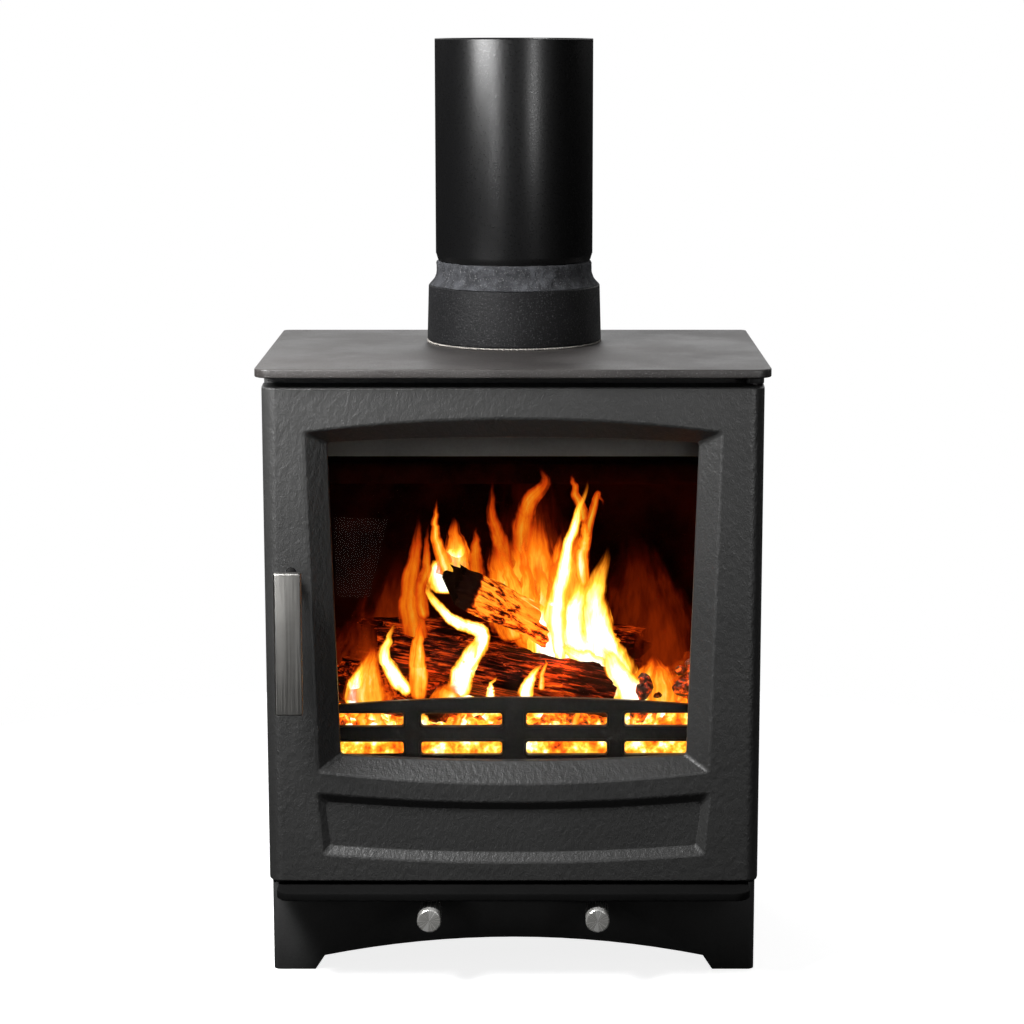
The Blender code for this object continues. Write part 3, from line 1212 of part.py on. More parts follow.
def make_airwash_guides():
    y0 = Y_FRAME_BACK + WASH_FRONT
    y1 = y0 + WASH_D + CONTROL_TRAVEL + RUN
    outer = riser_box(1)[1]
    inner = outer - GUIDE_T
    shelf = Z_SHUTTER - RUN
    for name, side in (("airwash_guide_left", -1), ("airwash_guide_right", 1)):
        outline = [(side * outer, Z_FLOOR - GAP), (side * outer, shelf - GUIDE_T),
                   (side * (outer - GUIDE_LEG), shelf - GUIDE_T), (side * (outer - GUIDE_LEG), shelf),
                   (side * inner, shelf), (side * inner, Z_FLOOR - GAP)]
        mesh_object(name, prism(outline, 1, y0, y1), STOVE_PAINT)


def make_heat_shield():
    """Hat-shaped plate that stands off the back panel."""
    half = SHIELD_W / 2
    y0 = Y_BACK + GAP
    y1 = y0 + SHIELD_STANDOFF
    t = SHIELD_T
    outline = [(-half - SHIELD_FOOT, y0), (-half, y0), (-half, y1 - t), (half, y1 - t), (half, y0),
               (half + SHIELD_FOOT, y0), (half + SHIELD_FOOT, y0 + t), (half + t, y0 + t), (half + t, y1),
               (-half - t, y1), (-half - t, y0 + t), (-half - SHIELD_FOOT, y0 + t)]
    sheet = prism(outline, 2, SHIELD_Z0, SHIELD_Z0 + SHIELD_H)
    shield = mesh_object("rear_heat_shield", sheet, PLATE_PAINT)
    for word, side in (("left", -1), ("right", 1)):
        x = side * (half + SHIELD_FOOT / 2 + t / 2)
        centre = (x, 0, SHIELD_Z0 + SHIELD_H / 2)
        hole = rod_mesh(SCREW_R + GAP, centre, 1, y0 - PAST, y0 + PAST, 12)
        cut(shield, cutter(f"shield_hole_{word}", hole))
        profile = screw_profile(Y_BACK - SCREW_BITE, y0 + t + GAP)
        mesh_object(f"shield_screw_{word}", turned(profile, centre, 1, 12), DARK_STEEL, smooth=30)
        pilot = rod_mesh(SCREW_R + GAP, centre, 1, Y_BACK - SCREW_BITE - GAP, Y_BACK + PAST, 12)
        cut(bpy.data.objects["back_panel"], cutter(f"shield_pilot_{word}", pilot))


def main():
    clear_scene()
    make_plinth()
    make_plinth_back()
    make_ash_lip()
    make_side_panels()
    make_back_panel()
    make_floor()
    make_front_frame()
    make_top_plate()
    make_flue()
    make_duct()
    make_risers()
    make_bricks()
    make_grate()
    make_ash_pan()
    make_log_retainer()
    make_heat_shield()
    make_hinge()
    make_keeper()
    make_primary_guide()
    make_airwash_guides()
    door = pivot_empty("door_pivot", (X_PIN, Y_PIN, Z_DOOR))
    make_door_frame(door)
    make_glazing(door)
    make_glass_clamps(door)
    make_clamp_screws(door)
    make_rope_seal(door)
    make_bush(door)
    make_handle(pivot_empty("handle_pivot", (SPINDLE_X, Y_DOOR, Z_SPINDLE)))
    make_primary_air(pivot_empty("primary_slide", (-ROD_X, Y_FRAME, ROD_Z)))
    make_airwash(pivot_empty("airwash_slide", (ROD_X, Y_FRAME, ROD_Z)))
    make_riddling_grate()


main()
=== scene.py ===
"""Looks of the multi-fuel stove: its finishes, its soft seals, and the fire behind its glass.

Metres, +Z up.  The stove faces -Y.  Sizes and places that meet the frame are read from it.
"""

import json
import logging
import math
import random
from contextlib import contextmanager
from dataclasses import dataclass
from enum import Enum
from functools import cache
from typing import Callable, Iterator, Optional, Sequence, Union

import bmesh
import bpy
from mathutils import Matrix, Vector, noise

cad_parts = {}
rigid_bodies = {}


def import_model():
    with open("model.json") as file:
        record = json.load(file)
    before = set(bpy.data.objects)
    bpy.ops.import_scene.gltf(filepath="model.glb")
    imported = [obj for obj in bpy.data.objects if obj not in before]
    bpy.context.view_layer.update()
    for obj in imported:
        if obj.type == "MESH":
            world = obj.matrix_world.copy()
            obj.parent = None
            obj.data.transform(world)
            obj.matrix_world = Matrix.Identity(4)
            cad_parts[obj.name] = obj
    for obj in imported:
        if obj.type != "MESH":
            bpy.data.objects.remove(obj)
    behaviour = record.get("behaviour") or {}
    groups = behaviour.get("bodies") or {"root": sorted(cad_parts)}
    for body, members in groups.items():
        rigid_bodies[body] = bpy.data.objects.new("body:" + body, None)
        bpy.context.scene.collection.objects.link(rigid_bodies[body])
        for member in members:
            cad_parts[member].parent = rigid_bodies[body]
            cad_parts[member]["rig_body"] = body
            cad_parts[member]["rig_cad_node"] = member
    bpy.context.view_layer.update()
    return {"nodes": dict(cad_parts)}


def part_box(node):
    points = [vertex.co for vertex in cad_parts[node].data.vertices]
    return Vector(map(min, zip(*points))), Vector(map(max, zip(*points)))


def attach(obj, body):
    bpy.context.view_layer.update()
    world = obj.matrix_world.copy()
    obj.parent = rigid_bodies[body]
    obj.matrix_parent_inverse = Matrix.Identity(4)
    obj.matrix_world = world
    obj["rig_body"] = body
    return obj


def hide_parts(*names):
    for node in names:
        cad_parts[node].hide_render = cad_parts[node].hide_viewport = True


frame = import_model()
LOG = logging.getLogger("stove")

MERGE = 0.00001         # points nearer than this are one
PAST = 0.010            # how far a cutter runs past the face that it cuts
GAP = 0.0003            # between pieces that touch
FLUE_HOLE = 0.070       # radius of the way through the top plate and the collar's foot
Point2 = tuple[float, float]
Triple = tuple[float, float, float]
Quad = tuple[float, float, float, float]
Colour = Quad
Piece = bpy.types.Object
Socket = bpy.types.NodeSocket
Value = Union[float, Sequence[float], Socket]


class Body(Enum):
    """The bodies that pieces ride on."""
    STOVE = "stove"
    DOOR = "door"
    HANDLE = "handle"
    PRIMARY = "primary_air"
    AIRWASH = "airwash_air"
    RIDDLE = "riddle"


class Axis(Enum):
    """The axis that a turned piece is turned about."""
    Y = "y"
    Z = "z"


class Heat(Enum):
    """How hot a tongue of flame is."""
    WHITE = "white"
    GOLD = "gold"
    SHEET = "sheet"
    WISP = "wisp"
    HAZE = "haze"


@dataclass(frozen=True)
class Box:
    """The corners of a node of the frame.

    Args:
        lo: Its lowest corner.
        hi: Its highest corner.
    """
    lo: Vector
    hi: Vector

    @classmethod
    def of(cls, node: str) -> "Box":
        """The box of a node."""
        return cls(*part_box(node))

    @property
    def mid(self) -> Vector:
        """Its middle."""
        return (self.lo + self.hi) / 2

    @property
    def size(self) -> Vector:
        """Its width, depth and height."""
        return self.hi - self.lo


def rgb(red: float, green: float, blue: float) -> Colour:
    """A colour with full alpha."""
    return (red, green, blue, 1.0)


def toned(colour: Triple, share: float) -> Colour:
    """A colour made lighter or darker."""
    return rgb(*(c * share for c in colour))


def fresh() -> None:
    """Leave edit mode and deselect everything."""
    if bpy.context.mode != "OBJECT":
        bpy.ops.object.mode_set(mode="OBJECT")
    bpy.ops.object.select_all(action="DESELECT")


def take(piece: Piece) -> None:
    """Select one piece alone and make it active.

    Args:
        piece: The piece.
    """
    fresh()
    piece.select_set(True)
    bpy.context.view_layer.objects.active = piece


def named(name: str) -> Piece:
    """Name the piece that was just added.

    Args:
        name: The piece's name, which its mesh takes too.

    Returns:
        The active object.
    """
    piece = bpy.context.active_object
    piece.name = name
    piece.data.name = name
    return piece


def settle(piece: Piece) -> None:
    """Put the piece's place, turn and scale into its mesh."""
    take(piece)
    bpy.ops.object.transform_apply(location=True, rotation=True, scale=True)


@contextmanager
def editing(piece: Piece) -> Iterator[None]:
    """Edit mode on one piece, with nothing selected at the start.

    Args:
        piece: The piece to edit.
    """
    take(piece)
    bpy.ops.object.mode_set(mode="EDIT")
    bpy.ops.mesh.select_mode(type="VERT")
    bpy.ops.mesh.select_all(action="DESELECT")
    yield
    bpy.ops.object.mode_set(mode="OBJECT")


def pick(piece: Piece, kind: str, test: Callable[[object], bool]) -> None:
    """Select the vertices, edges or faces that pass a test.

    Args:
        piece: The piece that is being edited.
        kind: VERT, EDGE or FACE.
        test: Takes one element and says whether it is selected.
    """
    bpy.ops.mesh.select_mode(type=kind)
    bpy.ops.mesh.select_all(action="DESELECT")
    bm = bmesh.from_edit_mesh(piece.data)
    for item in {"VERT": bm.verts, "EDGE": bm.edges, "FACE": bm.faces}[kind]:
        if test(item):
            item.select_set(True)
    bm.select_flush_mode()
    bmesh.update_edit_mesh(piece.data)


def reshape(piece: Piece, rule: Callable[[Vector], Vector]) -> None:
    """Move each vertex of a piece by a rule.

    Args:
        piece: The piece, in object mode.
        rule: Takes a vertex's place and gives its new one.
    """
    with editing(piece):
        bm = bmesh.from_edit_mesh(piece.data)
        for vert in bm.verts:
            vert.co = rule(vert.co.copy())
        bmesh.update_edit_mesh(piece.data)


def close_up(piece: Piece) -> None:
    """Merge doubles and turn every face outwards.

    Args:
        piece: The piece, in object mode.
    """
    with editing(piece):
        bpy.ops.mesh.select_all(action="SELECT")
        bpy.ops.mesh.remove_doubles(threshold=MERGE)
        bpy.ops.mesh.normals_make_consistent(inside=False)


def modify(piece: Piece, kind: str, **values: object) -> None:
    """Add a modifier, set its values and apply it.

    Args:
        piece: The piece.
        kind: The modifier's type.
        values: The modifier's properties.
    """
    take(piece)
    modifier = piece.modifiers.new(kind.lower(), kind)
    for key, value in values.items():
        setattr(modifier, key, value)
    bpy.ops.object.modifier_apply(modifier=modifier.name)


def smooth(piece: Piece, angle: float = 30.0) -> None:
    """Shade a piece smooth up to an angle in degrees."""
    take(piece)
    bpy.ops.object.shade_smooth_by_angle(angle=math.radians(angle))


def soften(piece: Piece, width: float, segments: int = 3, angle: float = 28.0) -> None:
    """Round the edges of a piece that are sharper than an angle.

    Args:
        piece: The piece.
        width: Width of the bevel.
        segments: Its segments.
        angle: The least angle between two faces, in degrees.
    """
    modify(piece, "BEVEL", width=width, segments=segments, limit_method="ANGLE",
           angle_limit=math.radians(angle), use_clamp_overlap=False, harden_normals=False,
           miter_outer="MITER_ARC")
    smooth(piece, 40.0)


def carve(piece: Piece, tool: Piece) -> None:
    """Cut a tool's shape out of a piece and remove the tool."""
    modify(piece, "BOOLEAN", operation="DIFFERENCE", solver="EXACT", object=tool)
    bpy.data.objects.remove(tool)


def block(name: str, lo: Sequence[float], hi: Sequence[float]) -> Piece:
    """A cube brought to two corners, ready for more shaping.

    Args:
        name: The piece's name.
        lo: Its lowest corner.
        hi: Its highest corner.

    Returns:
        The piece.
    """
    fresh()
    low, high = Vector(lo), Vector(hi)
    bpy.ops.mesh.primitive_cube_add(size=1.0, location=(low + high) / 2)
    piece = named(name)
    piece.scale = high - low
    settle(piece)
    return piece


def turn(name: str, profile: Sequence[Point2], centre: Sequence[float], axis: Axis = Axis.Z,
         steps: int = 96, ring: bool = False) -> Piece:
    """Turn a profile about an axis, by drawing a circle out and resizing it at each point.

    Args:
        name: The piece's name.
        profile: Radius and height of each point.
        centre: A point of the axis, from which heights are measured.
        axis: The axis.
        steps: Sides of the circle.
        ring: True if the profile closes on itself round a bore.

    Returns:
        The piece.
    """
    fresh()
    radius, height = profile[0]
    bpy.ops.mesh.primitive_circle_add(vertices=steps, radius=radius, location=(0, 0, height),
                                      fill_type="NOTHING" if ring else "NGON")
    piece = named(name)
    settle(piece)
    with editing(piece):
        bpy.ops.mesh.select_all(action="SELECT")
        for r, h in [*profile[1:], profile[0]] if ring else profile[1:]:
            bpy.ops.mesh.extrude_region_move(TRANSFORM_OT_translate={"value": (0, 0, h - height)})
            share = r / radius
            bpy.ops.transform.resize(value=(share, share, 1.0), center_override=(0, 0, h))
            radius, height = r, h
    close_up(piece)
    if axis is Axis.Y:
        piece.rotation_euler.x = -math.pi / 2
    piece.location = centre
    settle(piece)
    return piece


def loft(name: str, outlines: Sequence[Sequence[Vector]]) -> Piece:
    """Draw a filled outline out through further outlines with as many points.

    Args:
        name: The piece's name.
        outlines: Each outline's points, in the same order.

    Returns:
        The closed piece.
    """
    fresh()
    bpy.ops.mesh.primitive_circle_add(vertices=len(outlines[0]), radius=1.0, fill_type="NGON")
    piece = named(name)
    with editing(piece):
        bm = bmesh.from_edit_mesh(piece.data)
        bm.verts.ensure_lookup_table()
        for vert, point in zip(bm.verts, outlines[0]):
            vert.co = point
        bmesh.update_edit_mesh(piece.data)
        bpy.ops.mesh.select_all(action="SELECT")
        for before, after in zip(outlines, outlines[1:]):
            bpy.ops.mesh.extrude_region_move()
            place = {tuple(round(c, 6) for c in a): b for a, b in zip(before, after)}
            bm = bmesh.from_edit_mesh(piece.data)
            for vert in bm.verts:
                if vert.select:
                    vert.co = place[tuple(round(c, 6) for c in vert.co)]
            bmesh.update_edit_mesh(piece.data)
    close_up(piece)
    return piece


def corner_arc(before: Vector, corner: Vector, after: Vector, radius: float, steps: int) -> list[Point2]:
    """Points of a fillet at one corner of an outline.

    Args:
        before: The point before the corner.
        corner: The corner.
        after: The point after it.
        radius: The fillet's radius.
        steps: Its segments.

    Returns:
        Its points, in the outline's order.
    """
    back, on = (before - corner).normalized(), (after - corner).normalized()
    half = back.angle(on) / 2
    reach = radius / math.tan(half)
    centre = corner + (back + on).normalized() * radius / math.sin(half)
    first, last = corner + back * reach - centre, corner + on * reach - centre
    swing = first.angle_signed(last)
    points = []
    for k in range(steps + 1):
        c, s = math.cos(-swing * k / steps), math.sin(-swing * k / steps)
        points.append((centre.x + first.x * c - first.y * s, centre.y + first.x * s + first.y * c))
    return points


def rounded(outline: Sequence[Point2], radii: dict[int, float], steps: int = 8) -> list[Point2]:
    """Round the corners of a closed outline.

    Args:
        outline: Its corners.
        radii: The radius at each corner that is rounded, by its number.
        steps: Segments of each arc.

    Returns:
        The new outline.
    """
    points: list[Point2] = []
    for i, corner in enumerate(outline):
        if radii.get(i):
            points += corner_arc(Vector(outline[i - 1]), Vector(corner),
                                 Vector(outline[(i + 1) % len(outline)]), radii[i], steps)
        else:
            points.append(tuple(corner))
    return points


def rounded_rect(x0: float, x1: float, z0: float, z1: float, radius: float, steps: int = 8) -> list[Point2]:
    """A rectangle with four round corners."""
    return rounded([(x0, z0), (x1, z0), (x1, z1), (x0, z1)], {i: radius for i in range(4)}, steps)


def arch(half: float, level: float, rise: float, steps: int) -> list[Point2]:
    """Points of a parabola from x = half to x = -half, with its ends at a level."""
    return [(half - 2 * half * i / steps, level + rise * (1 - (2 * i / steps - 1) ** 2))
            for i in range(steps + 1)]


def upright(outline: Sequence[Point2], y: float) -> list[Vector]:
    """An outline in x and z, stood up at a depth."""
    return [Vector((x, y, z)) for x, z in outline]


def flat(outline: Sequence[Point2], z: float) -> list[Vector]:
    """An outline in x and y, laid at a height."""
    return [Vector((x, y, z)) for x, y in outline]


def tube(name: str, points: Sequence[Vector], radius: float, swell: float = 0.0, period: int = 2) -> Piece:
    """A closed tube whose radius swells at a steady rate, drawn as a curve and made a mesh.

    Args:
        name: The piece's name.
        points: The points of its centre line.
        radius: The tube's radius.
        swell: Share by which the radius rises and falls.
        period: Points from one swelling to the next.

    Returns:
        The piece.
    """
    curve = bpy.data.curves.new("tube", "CURVE")
    curve.dimensions = "3D"
    curve.bevel_depth = radius
    curve.bevel_resolution = 2
    spline = curve.splines.new("POLY")
    spline.points.add(len(points) - 1)
    for i, point in enumerate(points):
        spline.points[i].co = (*point, 1.0)
        spline.points[i].radius = 1.0 + swell * math.cos(2 * math.pi * i / period)
    spline.use_cyclic_u = True
    piece = bpy.data.objects.new(name, curve)
    bpy.context.scene.collection.objects.link(piece)
    take(piece)
    bpy.ops.object.convert(target="MESH")
    piece = named(name)
    close_up(piece)
    smooth(piece, 60.0)
    return piece


def spaced(points: Sequence[Vector], step: float) -> list[Vector]:
    """Points at an even spacing along a closed line.

    Args:
        points: The line's corners.
        step: The spacing, roughly.

    Returns:
        The points.
    """
    pairs = list(zip(points, [*points[1:], points[0]]))
    length = sum((b - a).length for a, b in pairs)
    count = 2 * round(length / step / 2)
    made, walked, due = [], 0.0, 0.0
    for a, b in pairs:
        run = (b - a).length
        while due < walked + run and len(made) < count:
            made.append(a.lerp(b, (due - walked) / run))
            due += length / count
        walked += run
    return made


def roughen(piece: Piece, size: float, depth: float, kind: str = "CLOUDS") -> None:
    """Displace a piece by a rough texture.

    Args:
        piece: The piece.
        size: Size of the lumps.
        depth: How high they stand.
        kind: CLOUDS or VORONOI.
    """
    texture = bpy.data.textures.new(f"{piece.name}_lumps", kind)
    texture.noise_scale = size
    modify(piece, "DISPLACE", texture=texture, strength=depth, mid_level=0.5, texture_coords="LOCAL")


def refined(node: str, width: float, segments: int = 2) -> Piece:
    """A copy of a node of the frame with its edges rounded.

    Args:
        node: The node's name.
        width: Width of the rounding.
        segments: Its segments.

    Returns:
        The copy, as a piece of its own.
    """
    source = frame["nodes"][node]
    take(source)
    bpy.ops.object.duplicate()
    piece = named(f"{node}_finished")
    piece.parent = None
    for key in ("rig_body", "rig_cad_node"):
        del piece[key]
    piece.data.materials.clear()
    with editing(piece):
        bpy.ops.mesh.select_all(action="SELECT")
        bpy.ops.mesh.remove_doubles(threshold=MERGE)
        bpy.ops.mesh.customdata_custom_splitnormals_clear()
        bpy.ops.mesh.dissolve_limited(angle_limit=math.radians(0.5))
    soften(piece, width, segments)
    return piece


def dress(piece: Piece, material: bpy.types.Material, body: Optional[Body] = None,
          nodes: Sequence[str] = ()) -> Piece:
    """Give a piece its material, its body and the nodes that it stands for.

    Args:
        piece: The finished piece.
        material: Its material.
        body: The body that it rides on, or None for a node of the frame.
        nodes: The nodes that it replaces.

    Returns:
        The piece.
    """
    piece.data.materials.clear()
    piece.data.materials.append(material)
    if body:
        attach(piece, body.value)
    if nodes:
        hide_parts(*nodes)
    LOG.info("%s: %d faces, %s", piece.name, len(piece.data.polygons), material.name)
    return piece


def retouch(nodes: Sequence[str], width: float, finish: "Paint", body: Body) -> None:
    """Replace nodes by copies whose edges are rounded, all on one body and in one finish."""
    for node in nodes:
        dress(refined(node, width), finish.material(), body, [node])


class Wiring:
    """Places and joins the nodes of one node tree.

    Args:
        tree: The tree of a material, world or group.
    """

    def __init__(self, tree: bpy.types.NodeTree) -> None:
        """Keep the tree."""
        self.tree = tree

    def put(self, kind: str, settings: Optional[dict[str, object]] = None,
            **inputs: Value) -> bpy.types.Node:
        """Add a node.

        Args:
            kind: Its type.
            settings: Its properties.
            inputs: Its sockets' values or what is joined to them, with _ for a space.

        Returns:
            The node.
        """
        node = self.tree.nodes.new(kind)
        for key, value in (settings or {}).items():
            setattr(node, key, value)
        for key, value in inputs.items():
            self.feed(node.inputs[key.replace("_", " ")], value)
        return node

    def feed(self, socket: Socket, value: Value) -> None:
        """Join an output to a socket, or set the socket's value.

        Args:
            socket: The socket.
            value: The output or the value.
        """
        if isinstance(value, Socket):
            self.tree.links.new(value, socket)
        else:
            socket.default_value = value

    def sum(self, operation: str, *values: Value, clamp: bool = False) -> Socket:
        """Work values out with a Math node.

        Args:
            operation: Its operation.
            values: One to three values.
            clamp: Whether the result is kept between 0 and 1.

        Returns:
            The result.
        """
        node = self.put("ShaderNodeMath", {"operation": operation, "use_clamp": clamp})
        for socket, value in zip(node.inputs, values):
            self.feed(socket, value)
        return node.outputs[0]

    def mix(self, share: Value, first: Value, second: Value) -> Socket:
        """Mix two colours.

        Args:
            share: Share of the second, from 0 to 1.
            first: The first colour.
            second: The second colour.

        Returns:
            The mixed colour.
        """
        node = self.put("ShaderNodeMix", {"data_type": "RGBA"})
        for number, value in ((0, share), (6, first), (7, second)):
            self.feed(node.inputs[number], value)
        return node.outputs[2]

    def noise(self, place: Value, scale: Value, detail: float = 2.0, rough: float = 0.5) -> Socket:
        """The value of a noise texture."""
        node = self.put("ShaderNodeTexNoise", Vector=place, Scale=scale, Detail=detail, Roughness=rough)
        return node.outputs["Fac"]

    def cells(self, place: Value, scale: Value, feature: str = "F1") -> Socket:
        """The distance of a Voronoi texture."""
        node = self.put("ShaderNodeTexVoronoi", {"feature": feature}, Vector=place, Scale=scale)
        return node.outputs["Distance"]

    def ease(self, value: Value, lo: float, hi: float, start: float = 0.0, end: float = 1.0) -> Socket:
        """A value brought smoothly from lo...hi to start...end."""
        node = self.put("ShaderNodeMapRange", {"interpolation_type": "SMOOTHSTEP"}, Value=value,
                        From_Min=lo, From_Max=hi, To_Min=start, To_Max=end)
        return node.outputs[0]

    def ramp(self, value: Value, stops: Sequence[tuple[float, Colour]]) -> Socket:
        """Turn a value into a colour.

        Args:
            value: The value.
            stops: The colours and the values that they stand at.

        Returns:
            The colour.
        """
        node = self.put("ShaderNodeValToRGB", Fac=value)
        elements = node.color_ramp.elements
        while len(elements) < len(stops):
            elements.new(1.0)
        for element, (position, colour) in zip(elements, stops):
            element.position, element.color = position, colour
        return node.outputs[0]

    def mapped(self, place: Value, scale: Triple = (1, 1, 1), turned: Triple = (0, 0, 0)) -> Socket:
        """A place stretched and turned by a Mapping node."""
        node = self.put("ShaderNodeMapping", Vector=place, Scale=scale, Rotation=turned)
        return node.outputs[0]


class Effects:
    """The node groups that several finishes use, each built once."""

    @staticmethod
    def group(name: str, takes: dict[str, str],
              gives: dict[str, str]) -> tuple[Wiring, bpy.types.Node, bpy.types.Node]:
        """Start a node group.

        Args:
            name: Its name.
            takes: Its inputs' names and socket types.
            gives: Its outputs' names and socket types.

        Returns:
            Its wiring, its input node and its output node.
        """
        tree = bpy.data.node_groups.new(name, "ShaderNodeTree")
        for sockets, way in ((takes, "INPUT"), (gives, "OUTPUT")):
            for key, kind in sockets.items():
                tree.interface.new_socket(name=key, in_out=way, socket_type=f"NodeSocket{kind}")
        wiring = Wiring(tree)
        return wiring, wiring.put("NodeGroupInput"), wiring.put("NodeGroupOutput")

    @classmethod
    @cache
    def grain(cls) -> bpy.types.NodeTree:
        """Build the orange peel of sprayed paint: a height, and a tone that follows it, which the paints
        turn into painted light on its peaks and painted shade in its pits.

        Returns:
            The group.
        """
        w, given, out = cls.group("grain", {"Place": "Vector", "Size": "Float"},
                                  {"Height": "Float", "Tone": "Float"})
        scale = w.sum("DIVIDE", 1.0, given.outputs["Size"])
        broad = w.noise(given.outputs["Place"], scale, 3.0, 0.55)
        fine = w.noise(given.outputs["Place"], w.sum("MULTIPLY", scale, 3.7), 2.0, 0.5)
        height = w.sum("ADD", w.sum("MULTIPLY", broad, 0.7), w.sum("MULTIPLY", fine, 0.3))
        w.feed(out.inputs["Height"], height)
        w.feed(out.inputs["Tone"], w.ease(height, 0.30, 0.70))
        return w.tree

    @classmethod
    @cache
    def mottle(cls) -> bpy.types.NodeTree:
        """Build broad soft clouds and fine specks of lighter and darker tone.

        Returns:
            The group.
        """
        w, given, out = cls.group("mottle", {"Place": "Vector", "Clouds": "Float", "Specks": "Float"},
                                  {"Cloud": "Float", "Speck": "Float"})
        clouds = w.noise(given.outputs["Place"], w.sum("DIVIDE", 1.0, given.outputs["Clouds"]), 4.0, 0.6)
        dots = w.noise(given.outputs["Place"], w.sum("DIVIDE", 1.0, given.outputs["Specks"]), 2.0, 0.7)
        w.feed(out.inputs["Cloud"], w.ease(clouds, 0.32, 0.68))
        w.feed(out.inputs["Speck"], w.ease(dots, 0.56, 0.74))
        return w.tree

    @classmethod
    @cache
    def glow(cls) -> bpy.types.NodeTree:
        """Build the colours of burning fuel, from dark red through orange to near white.

        Returns:
            The group.
        """
        w, given, out = cls.group("glow", {"Heat": "Float"}, {"Color": "Color"})
        colour = w.ramp(given.outputs["Heat"], [
            (0.00, rgb(0.000, 0.000, 0.000)), (0.18, rgb(0.12, 0.006, 0.001)),
            (0.36, rgb(0.70, 0.060, 0.003)), (0.55, rgb(1.0, 0.21, 0.006)),
            (0.74, rgb(1.0, 0.50, 0.035)), (0.88, rgb(1.0, 0.82, 0.28)), (1.00, rgb(1.0, 0.98, 0.80))])
        w.feed(out.inputs["Color"], colour)
        return w.tree


class Surface:
    """One material while it is wired.

    Args:
        name: The material's name.
        values: The shader's own values, by their sockets' names with _ for a space.
    """

    def __init__(self, name: str, **values: Value) -> None:
        """Start the material and set the shader's own values."""
        self.material = bpy.data.materials.new(f"{name}_finish")
        self.material.use_nodes = True
        self.wiring = Wiring(self.material.node_tree)
        self.shader = self.material.node_tree.nodes["Principled BSDF"]
        self.coords = self.wiring.put("ShaderNodeTexCoord")
        self.place = self.coords.outputs["Object"]
        self.feed(**values)

    def feed(self, **values: Value) -> None:
        """Set or join the shader's sockets."""
        for key, value in values.items():
            self.wiring.feed(self.shader.inputs[key.replace("_", " ")], value)

    def effect(self, tree: bpy.types.NodeTree, **inputs: Value) -> dict[str, Socket]:
        """Place a node group with its inputs, and give its outputs by name."""
        node = self.wiring.put("ShaderNodeGroup", {"node_tree": tree}, **inputs)
        return {socket.name: socket for socket in node.outputs}

    def bump(self, height: Socket, depth: float, strength: float = 1.0) -> None:
        """Raise the surface by a height, up to a depth in metres."""
        node = self.wiring.put("ShaderNodeBump", Height=height, Distance=depth, Strength=strength)
        self.feed(Normal=node.outputs[0])


@dataclass(frozen=True)
class Paint:
    """A sprayed, cast or rolled surface.

    Args:
        name: The finish's name.
        colour: Its middle colour.
        roughness: Its middle roughness.
        metallic: Its metallic value.
        specular: Its specular level.
        grain: Size of the orange peel.
        depth: Height of the orange peel.
        stretch: How the grain is drawn out along x, y and z.
        slant: Turn of the grain about Y, in degrees.
        cloud: How much the tone drifts over the surface.
        clouds: Size of that drift.
        speck: How much lighter the specks are: grit in the cement, and painted glints on the top plate, the
            raw cast and the fret.
        specks: Size of the specks.
        drift: How much the roughness drifts with the tone.
    """
    name: str
    colour: Triple
    roughness: float = 0.55
    metallic: float = 0.0
    specular: float = 0.5
    grain: float = 0.003
    depth: float = 0.0002
    stretch: Triple = (1.0, 1.0, 1.0)
    slant: float = 0.0
    cloud: float = 0.15
    clouds: float = 0.09
    speck: float = 0.0
    specks: float = 0.001
    drift: float = 0.0

    @cache
    def material(self) -> bpy.types.Material:
        """Build the material, once.

        Returns:
            The material.
        """
        s = Surface(self.name, Metallic=self.metallic, Specular_IOR_Level=self.specular)
        w = s.wiring
        place = w.mapped(s.place, self.stretch, (0.0, math.radians(self.slant), 0.0))
        grain = s.effect(Effects.grain(), Place=place, Size=self.grain)
        spots = s.effect(Effects.mottle(), Place=s.place, Clouds=self.clouds, Specks=self.specks)
        dark = toned(self.colour, 1 - self.cloud)
        light = toned(self.colour, 1 + self.cloud)
        colour = w.mix(spots["Cloud"], dark, light)
        # Painted light and shade of the orange peel: lighter on its peaks, darker in its pits.
        shade = w.mix(w.sum("MULTIPLY", grain["Tone"], 0.30), colour, toned(self.colour, 1.5))
        # Light specks: grit in the cement, and painted glints on the top plate, the raw cast and the fret.
        bright = rgb(*(c + self.speck for c in self.colour))
        rough = w.ease(grain["Height"], 0.25, 0.75, self.roughness + 0.06, self.roughness - 0.06)
        drift = w.sum("MULTIPLY", w.sum("SUBTRACT", spots["Cloud"], 0.5), self.drift)
        s.feed(Base_Color=w.mix(spots["Speck"], shade, bright), Roughness=w.sum("ADD", rough, drift))
        s.bump(grain["Height"], self.depth)
        return s.material


@dataclass(frozen=True)
class Brushed:
    """Steel brushed along one axis.

    Args:
        name: The finish's name.
        colour: Its colour.
        roughness: Its roughness.
        along: How the brush lines are drawn out along x, y and z.
    """
    name: str
    colour: Triple
    roughness: float
    along: Triple

    @cache
    def material(self) -> bpy.types.Material:
        """Build the material, once.

        Returns:
            The material.
        """
        s = Surface(self.name, Metallic=1.0)
        w = s.wiring
        lines = w.noise(w.mapped(s.place, self.along), 1.0, 3.0, 0.6)
        soft = w.noise(s.place, 60.0, 3.0, 0.6)
        tone = w.sum("ADD", w.sum("MULTIPLY", lines, 0.35), w.sum("MULTIPLY", soft, 0.65))
        s.feed(Base_Color=w.ramp(tone, [(0.3, toned(self.colour, 0.88)), (0.7, toned(self.colour, 1.10))]),
               Roughness=w.ease(lines, 0.3, 0.7, self.roughness - 0.05, self.roughness + 0.07))
        s.bump(lines, 0.00002, 0.5)
        return s.material


